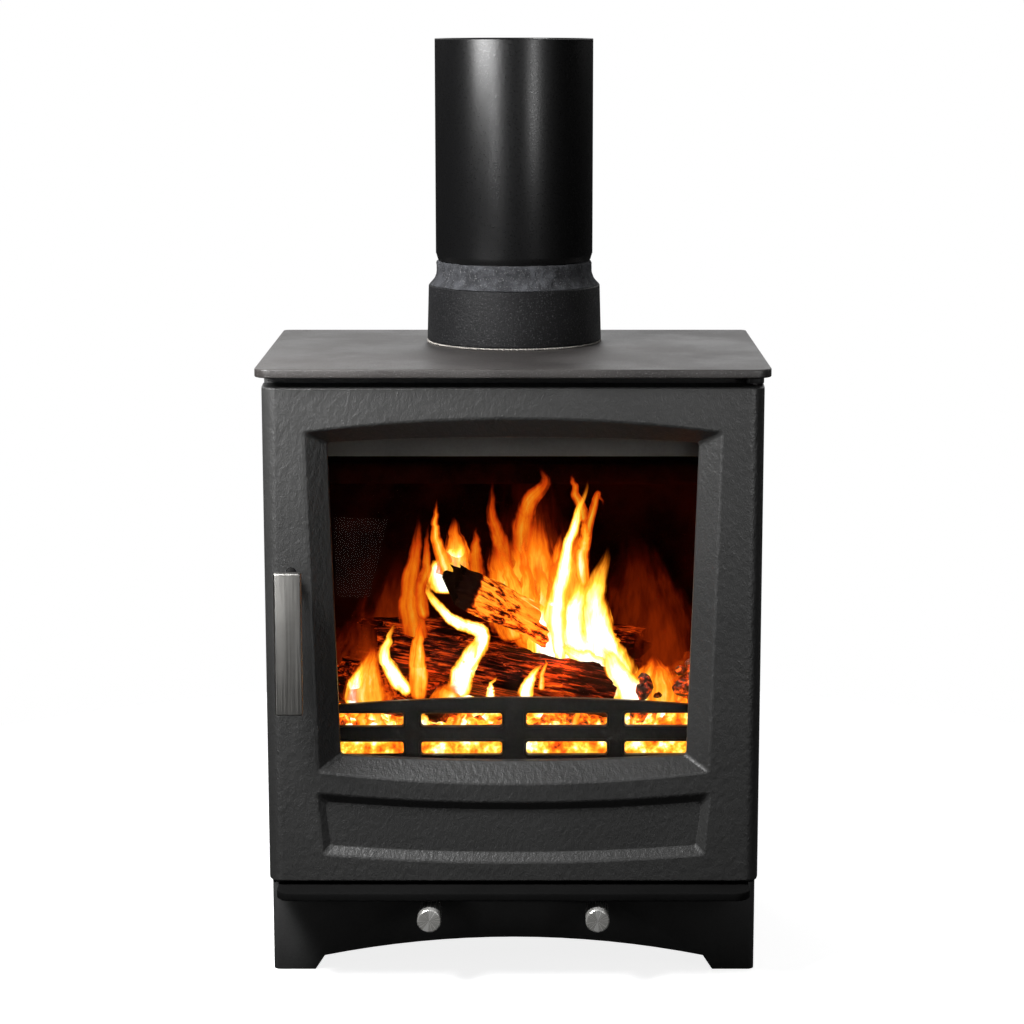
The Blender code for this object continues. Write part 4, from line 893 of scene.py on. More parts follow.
@dataclass(frozen=True)
class Turned:
    """Steel turned in a lathe, with a painted highlight: a bright sector up and a thin one down, and
    painted sheen in radial streaks.

    Args:
        name: The finish's name.
        centre: The lathe's axis in x and z.
        colour: Its colour away from the painted highlight.
        roughness: Its roughness.
        tilt: Turn of the painted highlight from upright, in degrees.
    """
    name: str
    centre: Point2
    colour: Triple = (0.66, 0.65, 0.62)
    roughness: float = 0.24
    tilt: float = 6.0

    @cache
    def material(self) -> bpy.types.Material:
        """Build the material, once.

        Returns:
            The material.
        """
        s = Surface(self.name, Metallic=0.62)
        w = s.wiring
        place = w.put("ShaderNodeSeparateXYZ", Vector=s.place)
        across = w.sum("SUBTRACT", place.outputs[0], self.centre[0])
        up = w.sum("SUBTRACT", place.outputs[2], self.centre[1])
        angle = w.sum("SUBTRACT", w.sum("ARCTAN2", across, up), math.radians(self.tilt))
        facing = w.sum("COSINE", angle)
        # Painted highlight: the base colour is lightened in a sector above the axis and a thin one below
        # it.
        painted_highlight = w.sum("ADD", w.ease(facing, 0.80, 0.995), w.ease(facing, -0.93, -0.998))
        around = w.put("ShaderNodeCombineXYZ", X=w.sum("MULTIPLY", angle, 9.0)).outputs[0]
        # Radial streaks: turning marks in the roughness, and painted sheen in the base colour.
        marks_and_sheen = w.noise(around, 1.0, 3.0, 0.6)
        share = w.sum("ADD", painted_highlight, w.sum("MULTIPLY", w.sum("SUBTRACT", marks_and_sheen, 0.5), 0.5))
        # The base colour runs from the steel's own colour up to a near-white painted highlight.
        s.feed(Base_Color=w.ramp(share, [(0.0, rgb(*self.colour)), (1.0, rgb(0.97, 0.96, 0.93))]),
               Roughness=w.ease(marks_and_sheen, 0.3, 0.7, self.roughness - 0.04, self.roughness + 0.05))
        return s.material


@dataclass(frozen=True)
class Glass:
    """The clear ceramic glass of the door.

    Args:
        name: The finish's name.
        tint: Its slight tint.
    """
    name: str = "stove_glass"
    tint: Triple = (0.84, 0.82, 0.80)

    @cache
    def material(self) -> bpy.types.Material:
        """Build the material, once, with a faint drift in how smooth it is.

        Returns:
            The material.
        """
        s = Surface(self.name, Metallic=0.0, Transmission_Weight=1.0, IOR=1.12, Specular_IOR_Level=0.04)
        w = s.wiring
        film = w.noise(s.place, 9.0, 3.0)
        s.feed(Base_Color=w.mix(film, rgb(*self.tint), toned(self.tint, 0.985)),
               Roughness=w.ease(film, 0.3, 0.7, 0.0, 0.012))
        return s.material


@dataclass(frozen=True)
class Rope:
    """Twisted or braided heat-proof rope.

    Args:
        name: The finish's name.
        colour: Its colour.
        strand: Size of a strand.
    """
    name: str
    colour: Triple
    strand: float

    @cache
    def material(self) -> bpy.types.Material:
        """Build the material, once.

        Returns:
            The material.
        """
        s = Surface(self.name, Roughness=0.92, Sheen_Weight=0.2)
        w = s.wiring
        scale = 1.0 / self.strand
        strands = w.put("ShaderNodeTexWave", {"bands_direction": "DIAGONAL"}, Vector=s.place,
                        Scale=scale / 6, Distortion=1.2, Detail=2.0).outputs["Fac"]
        fuzz = w.noise(s.place, scale * 2.5, 3.0, 0.7)
        height = w.sum("ADD", w.sum("MULTIPLY", strands, 0.7), w.sum("MULTIPLY", fuzz, 0.3))
        # Painted shade: darker down in the grooves between the strands, lighter on their crowns.
        s.feed(Base_Color=w.ramp(height, [(0.2, toned(self.colour, 0.45)), (0.7, rgb(*self.colour))]))
        s.bump(height, 0.0006)
        return s.material


@dataclass(frozen=True)
class Brick:
    """Vermiculite board, sooted by the fire.

    Args:
        name: The finish's name.
        colour: Its clean colour.
        soot: Its sooted colour.
    """
    name: str = "firebrick"
    colour: Triple = (0.030, 0.0050, 0.0030)
    soot: Triple = (0.005, 0.0010, 0.0008)

    @cache
    def material(self) -> bpy.types.Material:
        """Build the material, once.

        Returns:
            The material.
        """
        s = Surface(self.name, Specular_IOR_Level=0.0)
        w = s.wiring
        grain = s.effect(Effects.grain(), Place=s.place, Size=0.004)
        spots = s.effect(Effects.mottle(), Place=s.place, Clouds=0.07, Specks=0.0016)
        sooty = w.mix(spots["Cloud"], rgb(*self.soot), rgb(*self.colour))
        s.feed(Base_Color=w.mix(w.sum("MULTIPLY", spots["Speck"], 0.5), sooty, rgb(0.045, 0.010, 0.005)),
               Roughness=w.ease(grain["Tone"], 0.0, 1.0, 0.85, 0.97))
        s.bump(grain["Height"], 0.0008)
        return s.material


@dataclass(frozen=True)
class Wood:
    """Charred firewood that glows in its cracks, with painted firelight on the wood that still shows.

    Args:
        name: The finish's name.
        char: Colour of the charred parts.
        fibre: Colour of the parts that still show wood.
        share: How much of it still shows wood, from 0 to 1.
        glow: How hot its cracks are, from 0 to 1.
        lit: How bright the painted firelight on the wood that shows is, from 0 to 1.
        run: How the grain is drawn out along x, y and z.
        slant: Turn about Y that brings the log's length to z, in degrees.
        end: Turned z beyond which its end is black.
    """
    name: str
    char: Triple
    fibre: Triple
    share: float
    glow: float
    lit: float
    run: Triple
    slant: float
    end: float = 10.0

    @cache
    def material(self) -> bpy.types.Material:
        """Build the material, once.

        Returns:
            The material.
        """
        s = Surface(self.name, Emission_Strength=1.2, Specular_IOR_Level=0.1)
        w = s.wiring
        turned = w.mapped(s.place, turned=(0, math.radians(self.slant), 0))
        along = w.mapped(turned, self.run)
        grain = w.noise(along, 1.0, 5.0, 0.65)
        patch = w.noise(s.place, 26.0, 3.0)
        length = w.sum("ADD", w.put("ShaderNodeSeparateXYZ", Vector=turned).outputs[2],
                       w.sum("MULTIPLY", w.noise(s.place, 120.0, 3.0), 0.010))
        sound = w.ease(length, self.end + 0.007, self.end + 0.003)
        wood = w.sum("MULTIPLY", sound, w.ease(w.sum("ADD", grain, w.sum("MULTIPLY", patch, 0.6)),
                                               1.10 - self.share * 0.6, 1.30 - self.share * 0.6))
        s.feed(Base_Color=w.mix(wood, rgb(*self.char), rgb(*self.fibre)),
               Roughness=w.ease(grain, 0.2, 0.8, 0.95, 0.75))
        edges = w.cells(w.mapped(along, (0.25, 0.25, 0.25)), 1.0, "DISTANCE_TO_EDGE")
        crack = w.sum("SUBTRACT", 1.0, edges)
        live = w.sum("MULTIPLY", sound, w.ease(w.sum("MULTIPLY", w.ease(crack, 0.90, 1.0), patch),
                                               0.35, 0.75, 0.0, self.glow))
        # Painted firelight: the bare wood glows as if lit by the flames, beside the real glow of the
        # cracks.
        painted_firelight = w.sum("MULTIPLY", wood, w.sum("MULTIPLY", w.ease(grain, 0.25, 0.75, 0.75, 1.15), self.lit))
        ember = s.effect(Effects.glow(), Heat=w.sum("ADD", w.sum("MULTIPLY", live, 0.5), painted_firelight))
        # Emission: the real glow of the cracks plus the painted firelight on the bare wood.
        s.feed(Emission_Color=ember["Color"])
        s.bump(grain, 0.0016)
        return s.material


@dataclass(frozen=True)
class Embers:
    """The glowing bed of coals and ash.

    Args:
        name: The finish's name.
        strength: How bright it is.
        heat: How hot its middle tone is, from 0 to 1.
        lump: Size of the lumps of light and dark.
        crown: Height above which it is cooler.
    """
    name: str
    strength: float
    heat: float
    lump: float
    crown: float = 0.236

    @cache
    def material(self) -> bpy.types.Material:
        """Build the material, once.

        Returns:
            The material.
        """
        s = Surface(self.name, Emission_Strength=self.strength, Roughness=0.95)
        w = s.wiring
        lumps = w.noise(s.place, 1.0 / self.lump, 4.0, 0.65)
        crust = w.cells(s.place, 0.7 / self.lump)
        heat = w.sum("ADD", w.sum("MULTIPLY", w.sum("SUBTRACT", lumps, 0.5), 2.4),
                     w.sum("SUBTRACT", self.heat, w.sum("MULTIPLY", crust, 0.22)))
        height = w.put("ShaderNodeSeparateXYZ", Vector=s.place).outputs[2]
        cooled = w.sum("SUBTRACT", heat, w.ease(height, self.crown, self.crown + 0.016, 0.0, 0.32))
        colour = s.effect(Effects.glow(), Heat=cooled)["Color"]
        s.feed(Emission_Color=colour,
               Base_Color=w.mix(lumps, rgb(0.012, 0.010, 0.010), rgb(0.10, 0.085, 0.075)))
        s.bump(lumps, 0.002)
        return s.material


@dataclass(frozen=True)
class Flame:
    """Burning gas: bright along the middle of a tongue, torn and clear towards its edges.

    Args:
        heat: How hot it is.
        strength: How bright it is.
        warmth: Its heat at its edges.
        rise: How much hotter its middle is.
        body: How solid it is, from 0 to 1.
        threads: How many threads lie side by side across a tongue.
    """
    heat: Heat
    strength: float
    warmth: float
    rise: float
    body: float
    threads: float

    @cache
    def material(self) -> bpy.types.Material:
        """Build the material, once.

        Returns:
            The material.
        """
        s = Surface(f"flame_{self.heat.value}", Emission_Strength=self.strength, Base_Color=rgb(0, 0, 0),
                    Roughness=1.0, Specular_IOR_Level=0.0)
        w = s.wiring
        uv = w.put("ShaderNodeSeparateXYZ", Vector=s.coords.outputs["UV"])
        across, up = uv.outputs[0], uv.outputs[1]
        where = w.put("ShaderNodeSeparateXYZ", Vector=s.place)
        key = w.sum("MULTIPLY", w.sum("ADD", where.outputs[0], where.outputs[1]), 9.0)
        flow = w.put("ShaderNodeCombineXYZ", X=w.sum("MULTIPLY", across, self.threads),
                     Y=w.sum("MULTIPLY", up, 1.3), Z=key).outputs[0]
        threads = w.noise(flow, 1.0, 3.0, 0.6)
        tear = w.noise(w.mapped(s.place, (95.0, 95.0, 26.0)), 1.0, 3.0, 0.6)
        side = w.sum("ABSOLUTE", w.sum("SUBTRACT", w.sum("MULTIPLY", across, 2.0), 1.0))
        inner = w.sum("SUBTRACT", 1.0, w.sum("POWER", side, 1.6))
        ragged = w.sum("MULTIPLY", w.sum("SUBTRACT", w.sum("ADD", threads, tear), 1.0), 1.25)
        fade = w.sum("MULTIPLY", w.ease(up, 1.0, 0.45), w.ease(up, 0.0, 0.10))
        mass = w.sum("MULTIPLY", w.sum("ADD", inner, ragged), fade)
        heat = w.sum("ADD", w.sum("MULTIPLY", mass, self.rise), self.warmth)
        s.feed(Emission_Color=s.effect(Effects.glow(), Heat=heat)["Color"],
               Alpha=w.sum("MULTIPLY", w.ease(mass, 0.06, 0.62), self.body, clamp=True))
        s.material.cycles.emission_sampling = "NONE"
        return s.material


CAST_PAINT = Paint("cast_paint", (0.030, 0.030, 0.0295), 0.43, grain=0.0048, depth=0.00090,
                   stretch=(1.0, 1.0, 0.70), slant=38.0, cloud=0.12, specular=0.46)
STOVE_PAINT = Paint("stove_paint", (0.052, 0.052, 0.052), 0.52, grain=0.0022, depth=0.00012, cloud=0.12,
                    specular=0.15)
PLATE_PAINT = Paint("plate_paint", (0.030, 0.0265, 0.0252), 0.47, grain=0.0018, depth=0.00030, cloud=0.30,
                    clouds=0.10, speck=0.10, specks=0.0014, drift=0.16)
RAW_CAST = Paint("raw_cast", (0.0056, 0.0056, 0.0062), 0.55, grain=0.0024, depth=0.00100, cloud=0.30,
                 speck=0.05, specks=0.0014, specular=0.14)
# Painted shade: stove paint made nearly black and dull, for the lip that lies in the door's shadow.
SHADED_LIP_PAINT = Paint("shaded_lip_paint", (0.0085, 0.0085, 0.0085), 0.70, grain=0.0022, depth=0.00010, cloud=0.12,
                  specular=0.02)
# Painted light: cast iron made lighter than the raw cast, for the light that the glass keeps off the fret.
LIT_FRET_CAST = Paint("lit_fret_cast", (0.036, 0.036, 0.035), 0.40, grain=0.0030, depth=0.00090, cloud=0.2,
                  speck=0.02, specular=0.35)
DARK_STEEL = Paint("dark_steel", (0.035, 0.034, 0.033), 0.42, 0.8, grain=0.0008, depth=0.00003, cloud=0.2)
FLUE_BLACK = Paint("flue_black", (0.0034, 0.0034, 0.0036), 0.31, grain=0.0016, depth=0.00008, cloud=0.1,
                   specular=0.33)
FIRE_CEMENT = Paint("fire_cement", (0.036, 0.037, 0.041), 0.90, grain=0.0045, depth=0.00250, cloud=0.60,
                    clouds=0.014, speck=0.10, specks=0.0018, specular=0.25)
BRUSHED_LEVER = Brushed("brushed_lever", (0.33, 0.322, 0.306), 0.34, (900.0, 900.0, 14.0))
# Painted light: grey paint far lighter than the stove paint, so the duct behind the glass shows as a lit
# band.
LIT_DUCT_PAINT = Paint("lit_duct_paint", (0.145, 0.145, 0.142), 0.60, grain=0.002, depth=0.0001, specular=0.2)
SOOTED = Paint("sooted_steel", (0.020, 0.019, 0.018), 0.80, grain=0.002, depth=0.0003, cloud=0.4,
               specular=0.3)
FLAMES = {
    Heat.WHITE: Flame(Heat.WHITE, 2.2, 0.46, 0.64, 1.0, 3.0),
    Heat.GOLD: Flame(Heat.GOLD, 1.5, 0.24, 0.54, 0.82, 4.0),
    Heat.SHEET: Flame(Heat.SHEET, 1.4, 0.22, 0.50, 0.72, 9.0),
    Heat.WISP: Flame(Heat.WISP, 1.15, 0.12, 0.46, 0.60, 3.5),
    Heat.HAZE: Flame(Heat.HAZE, 0.55, 0.10, 0.20, 0.42, 5.0),
}


@dataclass
class Casing:
    """Plinth, panels, lip, top plate and the rear shield.

    Args:
        plate_corner: Radius of the top plate's front corners.
        plate_back_corner: Radius of its back corners.
        lip_corner: Radius of the ash lip's front corners.
        edge: Rounding of the top plate's and the lip's edges.
        sheet_edge: Rounding of the sheets' edges.
    """
    plate_corner: float = 0.015
    plate_back_corner: float = 0.006
    lip_corner: float = 0.015
    edge: float = 0.0012
    sheet_edge: float = 0.0006

    def slab(self, node: str, corners: Sequence[Point2], radii: dict[int, float]) -> Piece:
        """A flat plate as thick as the node that it stands for, with some corners rounded in plan."""
        at, plan = Box.of(node), rounded(corners, radii, 12)
        return loft(f"{node}_finished", [flat(plan, at.lo.z), flat(plan, at.hi.z)])

    def top_plate(self) -> None:
        """The top plate, with its hole for the flue."""
        at, pipe = Box.of("top_plate"), Box.of("flue_pipe")
        corners = [(at.lo.x, at.lo.y), (at.hi.x, at.lo.y), (at.hi.x, at.hi.y), (at.lo.x, at.hi.y)]
        plate = self.slab("top_plate", corners, {0: self.plate_corner, 1: self.plate_corner,
                                                 2: self.plate_back_corner, 3: self.plate_back_corner})
        bore = turn("bore", [(FLUE_HOLE, at.lo.z - PAST), (FLUE_HOLE, at.hi.z + PAST)],
                    (pipe.mid.x, pipe.mid.y, 0.0), steps=128)
        carve(plate, bore)
        soften(plate, self.edge, 3)
        dress(plate, PLATE_PAINT.material(), Body.STOVE, ["top_plate"])

    def lip(self) -> None:
        """The ash lip over the plinth, with an ear at each back corner that closes the body's corner, in
        paint darkened as painted shade.
        """
        at, body = Box.of("ash_lip"), Box.of("front_frame")
        x, ear, front = at.hi.x, body.hi.x - GAP, body.lo.y + GAP
        corners = [(-x, at.lo.y), (x, at.lo.y), (x, front), (ear, front), (ear, at.hi.y),
                   (-ear, at.hi.y), (-ear, front), (-x, front)]
        lip = self.slab("ash_lip", corners, {0: self.lip_corner, 1: self.lip_corner})
        soften(lip, self.edge, 3)
        # Painted shade: the lip takes a darker copy of the stove paint.
        dress(lip, SHADED_LIP_PAINT.material(), Body.STOVE, ["ash_lip"])

    def panels(self) -> None:
        """The folded and welded sheets, with their edges eased."""
        retouch(("plinth", "plinth_back", "left_side_panel", "right_side_panel", "back_panel",
                 "front_frame", "rear_heat_shield", "hinge_tab_top", "hinge_tab_foot"),
                self.sheet_edge, STOVE_PAINT, Body.STOVE)

    def build(self) -> None:
        """Build and dress the casing."""
        self.top_plate()
        self.lip()
        self.panels()


@dataclass
class Flue:
    """Pipe, cast collar, fire cement and the rope under the collar.

    Args:
        wall: The pipe's wall.
        inset: How much less the radius of the pipe's spigot is than the pipe's own.
        rim: Chamfer of the pipe's cut end.
        fold: How far the pipe draws in before its shoulder.
        shoulder: Heights above the cement at which the pipe widens: the spigot's end, the fold, the
            inside and the outside.
        foot_spread: How much wider the collar is at its foot.
        collar_wall: From the collar's outside to its bore.
        collar_edge: Rounding of the collar's rim.
        foot_edge: Chamfer of its foot.
        foot_band: Height of the upright band at its foot.
        ledge: Height of the ledge that the spigot stands on.
        cement_wall: From the collar's outside to the cement's foot.
        skin: Thickness of the cement on the pipe.
        feather: How much thinner the cement is at its upper end, and how far down that starts.
        cove: Height of the cement's hollow fillet.
        smears: Size and height of each kind of lump in the cement.
        strand: Radius of the rope's showing strand.
        bead: Length of one twist of the rope.
        twist: Points along one twist.
    """
    wall: float = 0.002
    inset: float = 0.0028
    rim: float = 0.0005
    fold: float = 0.0006
    shoulder: Quad = (0.0008, 0.0058, 0.0070, 0.0072)
    foot_spread: float = 0.0014
    collar_wall: float = 0.0086
    collar_edge: float = 0.0016
    foot_edge: float = 0.0006
    foot_band: float = 0.002
    ledge: float = 0.008
    cement_wall: float = 0.0090
    skin: float = 0.0017
    feather: Point2 = (0.0004, 0.001)
    cove: float = 0.013
    smears: tuple[Point2, Point2] = ((0.010, 0.0016), (0.0026, 0.0008))
    strand: float = 0.0009
    bead: float = 0.0027
    twist: int = 6

    def build(self) -> None:
        """Build and dress the flue."""
        pipe, collar, joint = Box.of("flue_pipe"), Box.of("flue_collar"), Box.of("cement_joint")
        centre = (pipe.mid.x, pipe.mid.y, 0.0)
        spigot = pipe.size.x / 2 - self.inset
        self.pipe(pipe, centre, spigot, joint.hi.z + GAP)
        self.collar(collar, centre)
        self.cement(joint, collar, centre, spigot)
        self.rope(centre)

    def pipe(self, at: Box, centre: Triple, spigot: float, neck: float) -> None:
        """The pipe, with a narrower spigot that stands in the collar.

        Args:
            at: Its box.
            centre: A point of its axis.
            spigot: The spigot's radius.
            neck: The cement's upper end.
        """
        outer, inside = at.size.x / 2, at.size.x / 2 - self.wall
        lift, fold, bore, full = self.shoulder
        profile = [(spigot - self.wall, at.lo.z), (spigot, at.lo.z), (spigot, neck),
                   (spigot + lift, neck + lift), (outer - self.fold, neck + fold), (outer, neck + full),
                   (outer, at.hi.z - self.rim), (outer - self.rim, at.hi.z), (inside + self.rim, at.hi.z),
                   (inside, at.hi.z - self.rim), (inside, neck + bore), (spigot - self.wall, neck)]
        piece = turn("flue_pipe_finished", profile, centre, steps=160, ring=True)
        smooth(piece)
        dress(piece, FLUE_BLACK.material(), Body.STOVE, ["flue_pipe"])

    def collar(self, at: Box, centre: Triple) -> None:
        """The cast collar, with a rounded rim.

        Args:
            at: Its box.
            centre: A point of its axis.
        """
        foot = at.size.x / 2
        top = foot - self.foot_spread
        bore, ledge = foot - self.collar_wall, at.lo.z + self.ledge
        e, heel = self.collar_edge, self.foot_edge
        arc = [(top - e + e * math.sin(a), at.hi.z - e + e * math.cos(a))
               for a in (math.pi / 2 * (1 - k / 4) for k in range(5))]
        profile = [(FLUE_HOLE, at.lo.z), (foot - heel, at.lo.z), (foot, at.lo.z + heel),
                   (foot, at.lo.z + self.foot_band), *arc, (bore, at.hi.z), (bore, ledge),
                   (FLUE_HOLE, ledge)]
        piece = turn("flue_collar_finished", profile, centre, steps=160, ring=True)
        smooth(piece, 50.0)
        dress(piece, RAW_CAST.material(), Body.STOVE, ["flue_collar"])

    def cement(self, at: Box, collar: Box, centre: Triple, spigot: float) -> None:
        """Hand-smeared fire cement between pipe and collar.

        Args:
            at: Its box.
            collar: The collar's box.
            centre: A point of its axis.
            spigot: The radius of the pipe's spigot.
        """
        inner, foot = spigot + GAP, at.size.x / 2
        skin, bore = inner + self.skin, collar.size.x / 2 - self.cement_wall
        base, steps = collar.hi.z + GAP, 8
        cove = [(skin + (foot - skin) * (1 - k / steps) ** 2, base + self.cove * k / steps)
                for k in range(steps + 1)]
        body = [(skin, base + self.cove + (at.hi.z - base - self.cove) * k / 4) for k in range(1, 4)]
        profile = [(inner, at.lo.z), (bore, at.lo.z), (bore, base), *cove, *body,
                   (skin - self.feather[0], at.hi.z - self.feather[1]), (inner, at.hi.z)]
        piece = turn("cement_joint_finished", profile, centre, steps=200, ring=True)
        for size, depth in self.smears:
            roughen(piece, size, depth)
        smooth(piece, 80.0)
        dress(piece, FIRE_CEMENT.material(), Body.STOVE, ["cement_joint"])

    def rope(self, centre: Triple) -> None:
        """The twisted rope that shows as a pale line round the collar's foot.

        Args:
            centre: A point of the flue's axis.
        """
        at = Box.of("collar_seal")
        path = at.size.x / 2 - self.strand * 0.9
        count = round(2 * math.pi * path / self.bead) * self.twist
        points = [Vector((centre[0] + path * math.cos(2 * math.pi * i / count),
                          centre[1] + path * math.sin(2 * math.pi * i / count), at.mid.z))
                  for i in range(count)]
        rope = tube("collar_rope", points, self.strand * 0.74, 0.42, self.twist)
        dress(rope, Rope("collar_rope", (0.44, 0.41, 0.37), 0.0012).material(), Body.STOVE,
              ["collar_seal"])


@dataclass
class Door:
    """Cast door with its window, glass, seals and clamps.

    Args:
        corner: Radius of its upright edges.
        heel: Bevel of its back edge at the hinge.
        lip: Rounding of its top and bottom front edges.
        ease: Radius where a bevel leaves the door's face.
        inner_ease: Radius at a bevel's inner edge.
        skim: How far above the face a cutter's rounding starts.
        window: Half widths, head and foot of the bevel's outer edge above the door's foot.
        window_bow: Rise of its head and belly of its foot.
        bevel: Width of the bevel at the sides, head and foot, and its depth.
        inner_bow: Rise and belly of the bevel's inner edge.
        window_corner: Radius of the window's corners.
        panel: Half widths, head and foot of the lower panel.
        panel_bow: Rise of its head, which sags, and belly of its foot.
        panel_inner_bow: The same inside its bevel.
        panel_bevel: Width of its bevel at the sides and at the head, and its depth.
        panel_corner: Radius of its corners.
        seat: From the door's face back to the glass's seat.
        pocket: Half width of the glass's pocket and of the hollow below it.
        skin: From the door's face back to its hollows.
        low_foot: Foot of the low hollow above the rope's foot.
        rib: Height of the rib between that hollow and the pocket.
        channel: Width, corner radius and depth of the rope's channel.
        latch: The latch hollow's clearance of the rope, width, depth and half height.
        side_hollow: The side hollows' walls, from the door's edge to their outer and inner side.
        side_end: From the door's head or foot to a side hollow's end.
        spindle_rib: Half the height left whole between the side hollows round the spindle.
        pin: Radius of the hinge pins' holes.
        spindle: Radius of the hole for the handle's spindle.
        bush_depth: Depth of the seat of the spindle's bush.
        pane: Corner radius and edge rounding of the glass.
        gasket: The gasket's inset from its box, corner radius and spacing of points.
        rope: Corner radius of the rope, and the spacing of its points.
    """
    corner: float = 0.014
    heel: float = 0.004
    lip: float = 0.0022
    ease: float = 0.0050
    inner_ease: float = 0.0022
    skim: float = 0.00008
    window: Quad = (0.191, 0.182, 0.427, 0.1065)
    window_bow: Point2 = (0.0125, 0.011)
    bevel: Quad = (0.020, 0.012, 0.012, 0.016)
    inner_bow: Point2 = (0.0050, 0.0055)
    window_corner: float = 0.004
    panel: Quad = (0.184, 0.1785, 0.0864, 0.0265)
    panel_bow: Point2 = (-0.0092, 0.0078)
    panel_inner_bow: Point2 = (-0.0078, 0.0069)
    panel_bevel: Triple = (0.0075, 0.0095, 0.006)
    panel_corner: float = 0.004
    seat: float = 0.022
    pocket: float = 0.182
    skin: float = 0.014
    low_foot: float = 0.0131
    rib: float = 0.004
    channel: Triple = (0.0094, 0.0187, 0.008)
    latch: Quad = (0.0016, 0.0264, 0.020, 0.028)
    side_hollow: Point2 = (0.007, 0.017)
    side_end: float = 0.045
    spindle_rib: float = 0.034
    pin: float = 0.0044
    spindle: float = 0.0049
    bush_depth: float = 0.018
    pane: Point2 = (0.004, 0.0004)
    gasket: Triple = (0.003, 0.004, 0.004)
    rope: Point2 = (0.014, 0.0016)

    def bowed(self, sizes: Quad, bow: Point2, radius: float, foot: float) -> list[Point2]:
        """An outline with slanting sides, a bowed head and a bowed foot.

        Args:
            sizes: Half width at the head and foot, and heights of head and foot.
            bow: Rise of the head and belly of the foot.
            radius: Radius of the corners.
            foot: The door's foot, from which the heights count.

        Returns:
            Its points in x and z.
        """
        wide, narrow, head, base = sizes
        steps = 40
        top = arch(-wide, foot + head, bow[0], steps)
        low = arch(narrow, foot + base, -bow[1], steps)
        return rounded(top + low, {i: radius for i in (0, steps, steps + 1, 2 * steps + 1)}, 6)

    def recess(self, name: str, near: list[Point2], far: list[Point2], face: float, across: float,
               depth: float, through: float) -> Piece:
        """A cutter with softly rounded edges, whose sides slope from one outline to another.

        Args:
            name: Its name.
            near: The outline on the door's face.
            far: The outline at the depth.
            face: The face's y.
            across: The slope's width, on which its roundings are measured.
            depth: The depth of the far outline.
            through: How far it runs on straight behind the far outline, or 0 for a floor.

        Returns:
            The cutter.
        """
        end = (across, depth + through) if through else (2 * across, depth)
        section = [Vector(p) for p in ((-across, 0.0), (0.0, 0.0), (across, depth), end)]
        steps = 7
        path = corner_arc(*section[:3], self.ease, steps) + corner_arc(*section[1:], self.inner_ease, steps)
        path[0] = (path[0][0], -self.skim)
        path = [(path[0][0], -PAST), *path] + ([end] if through else [])
        rings = []
        for out, deep in path:
            share = out / across
            outline = [(a + (c - a) * share, b + (d - b) * share) for (a, b), (c, d) in zip(near, far)]
            rings.append(upright(outline, face + deep))
        return loft(name, rings)

    def casting(self) -> None:
        """The cast frame of the door."""
        at = Box.of("door_frame")
        door = block("door_casting", at.lo, at.hi)
        with editing(door):
            pick(door, "EDGE", lambda e: abs(e.verts[0].co.z - e.verts[1].co.z) > at.size.z / 2
                 and max(v.co.y for v in e.verts) < at.mid.y)
            bpy.ops.mesh.bevel(offset=self.corner, segments=14, affect="EDGES")
            pick(door, "EDGE", lambda e: abs(e.verts[0].co.z - e.verts[1].co.z) > at.size.z / 2
                 and min(v.co.y for v in e.verts) > at.mid.y and min(v.co.x for v in e.verts) > at.mid.x)
            bpy.ops.mesh.bevel(offset=self.heel, segments=1, affect="EDGES")
            pick(door, "EDGE", lambda e: abs(e.verts[0].co.z - e.verts[1].co.z) < MERGE
                 and max(v.co.y for v in e.verts) < at.lo.y + self.corner + MERGE)
            bpy.ops.mesh.bevel(offset=self.lip, segments=4, affect="EDGES")
        side, head, base, depth = self.bevel
        wide, narrow, top, low = self.window
        far = self.bowed((wide - side, narrow - side, top - head, low + base), self.inner_bow,
                         self.window_corner, at.lo.z)
        near = self.bowed(self.window, self.window_bow, self.window_corner, at.lo.z)
        carve(door, self.recess("window_cut", near, far, at.lo.y, (side + head) / 2, depth, at.size.y))
        side, head, depth = self.panel_bevel
        wide, narrow, top, low = self.panel
        far = self.bowed((wide - side, narrow - side, top - head, low + side), self.panel_inner_bow,
                         self.panel_corner, at.lo.z)
        near = self.bowed(self.panel, self.panel_bow, self.panel_corner, at.lo.z)
        carve(door, self.recess("panel_cut", near, far, at.lo.y, side, depth, 0.0))
        self.pockets(door, at)
        self.rope_channel(door, at)
        self.side_hollows(door, at)
        self.holes(door, at)
        smooth(door)
        modify(door, "WEIGHTED_NORMAL", mode="FACE_AREA", weight=100, keep_sharp=True)
        dress(door, CAST_PAINT.material(), Body.DOOR, ["door_frame"])

    def pockets(self, door: Piece, at: Box) -> None:
        """Cut the glass's pocket and the hollow below it.

        Args:
            door: The casting.
            at: Its box.
        """
        rope, top, low = Box.of("door_rope_seal"), Box.of("glass_clamp_top"), Box.of("glass_clamp_foot")
        half, behind = self.pocket, at.hi.y + PAST
        carve(door, block("pocket", (-half, at.lo.y + self.seat, low.lo.z - GAP),
                          (half, behind, top.hi.z + GAP)))
        carve(door, block("low_hollow", (-half, at.lo.y + self.skin, rope.lo.z + self.low_foot),
                          (half, behind, low.lo.z - GAP - self.rib)))

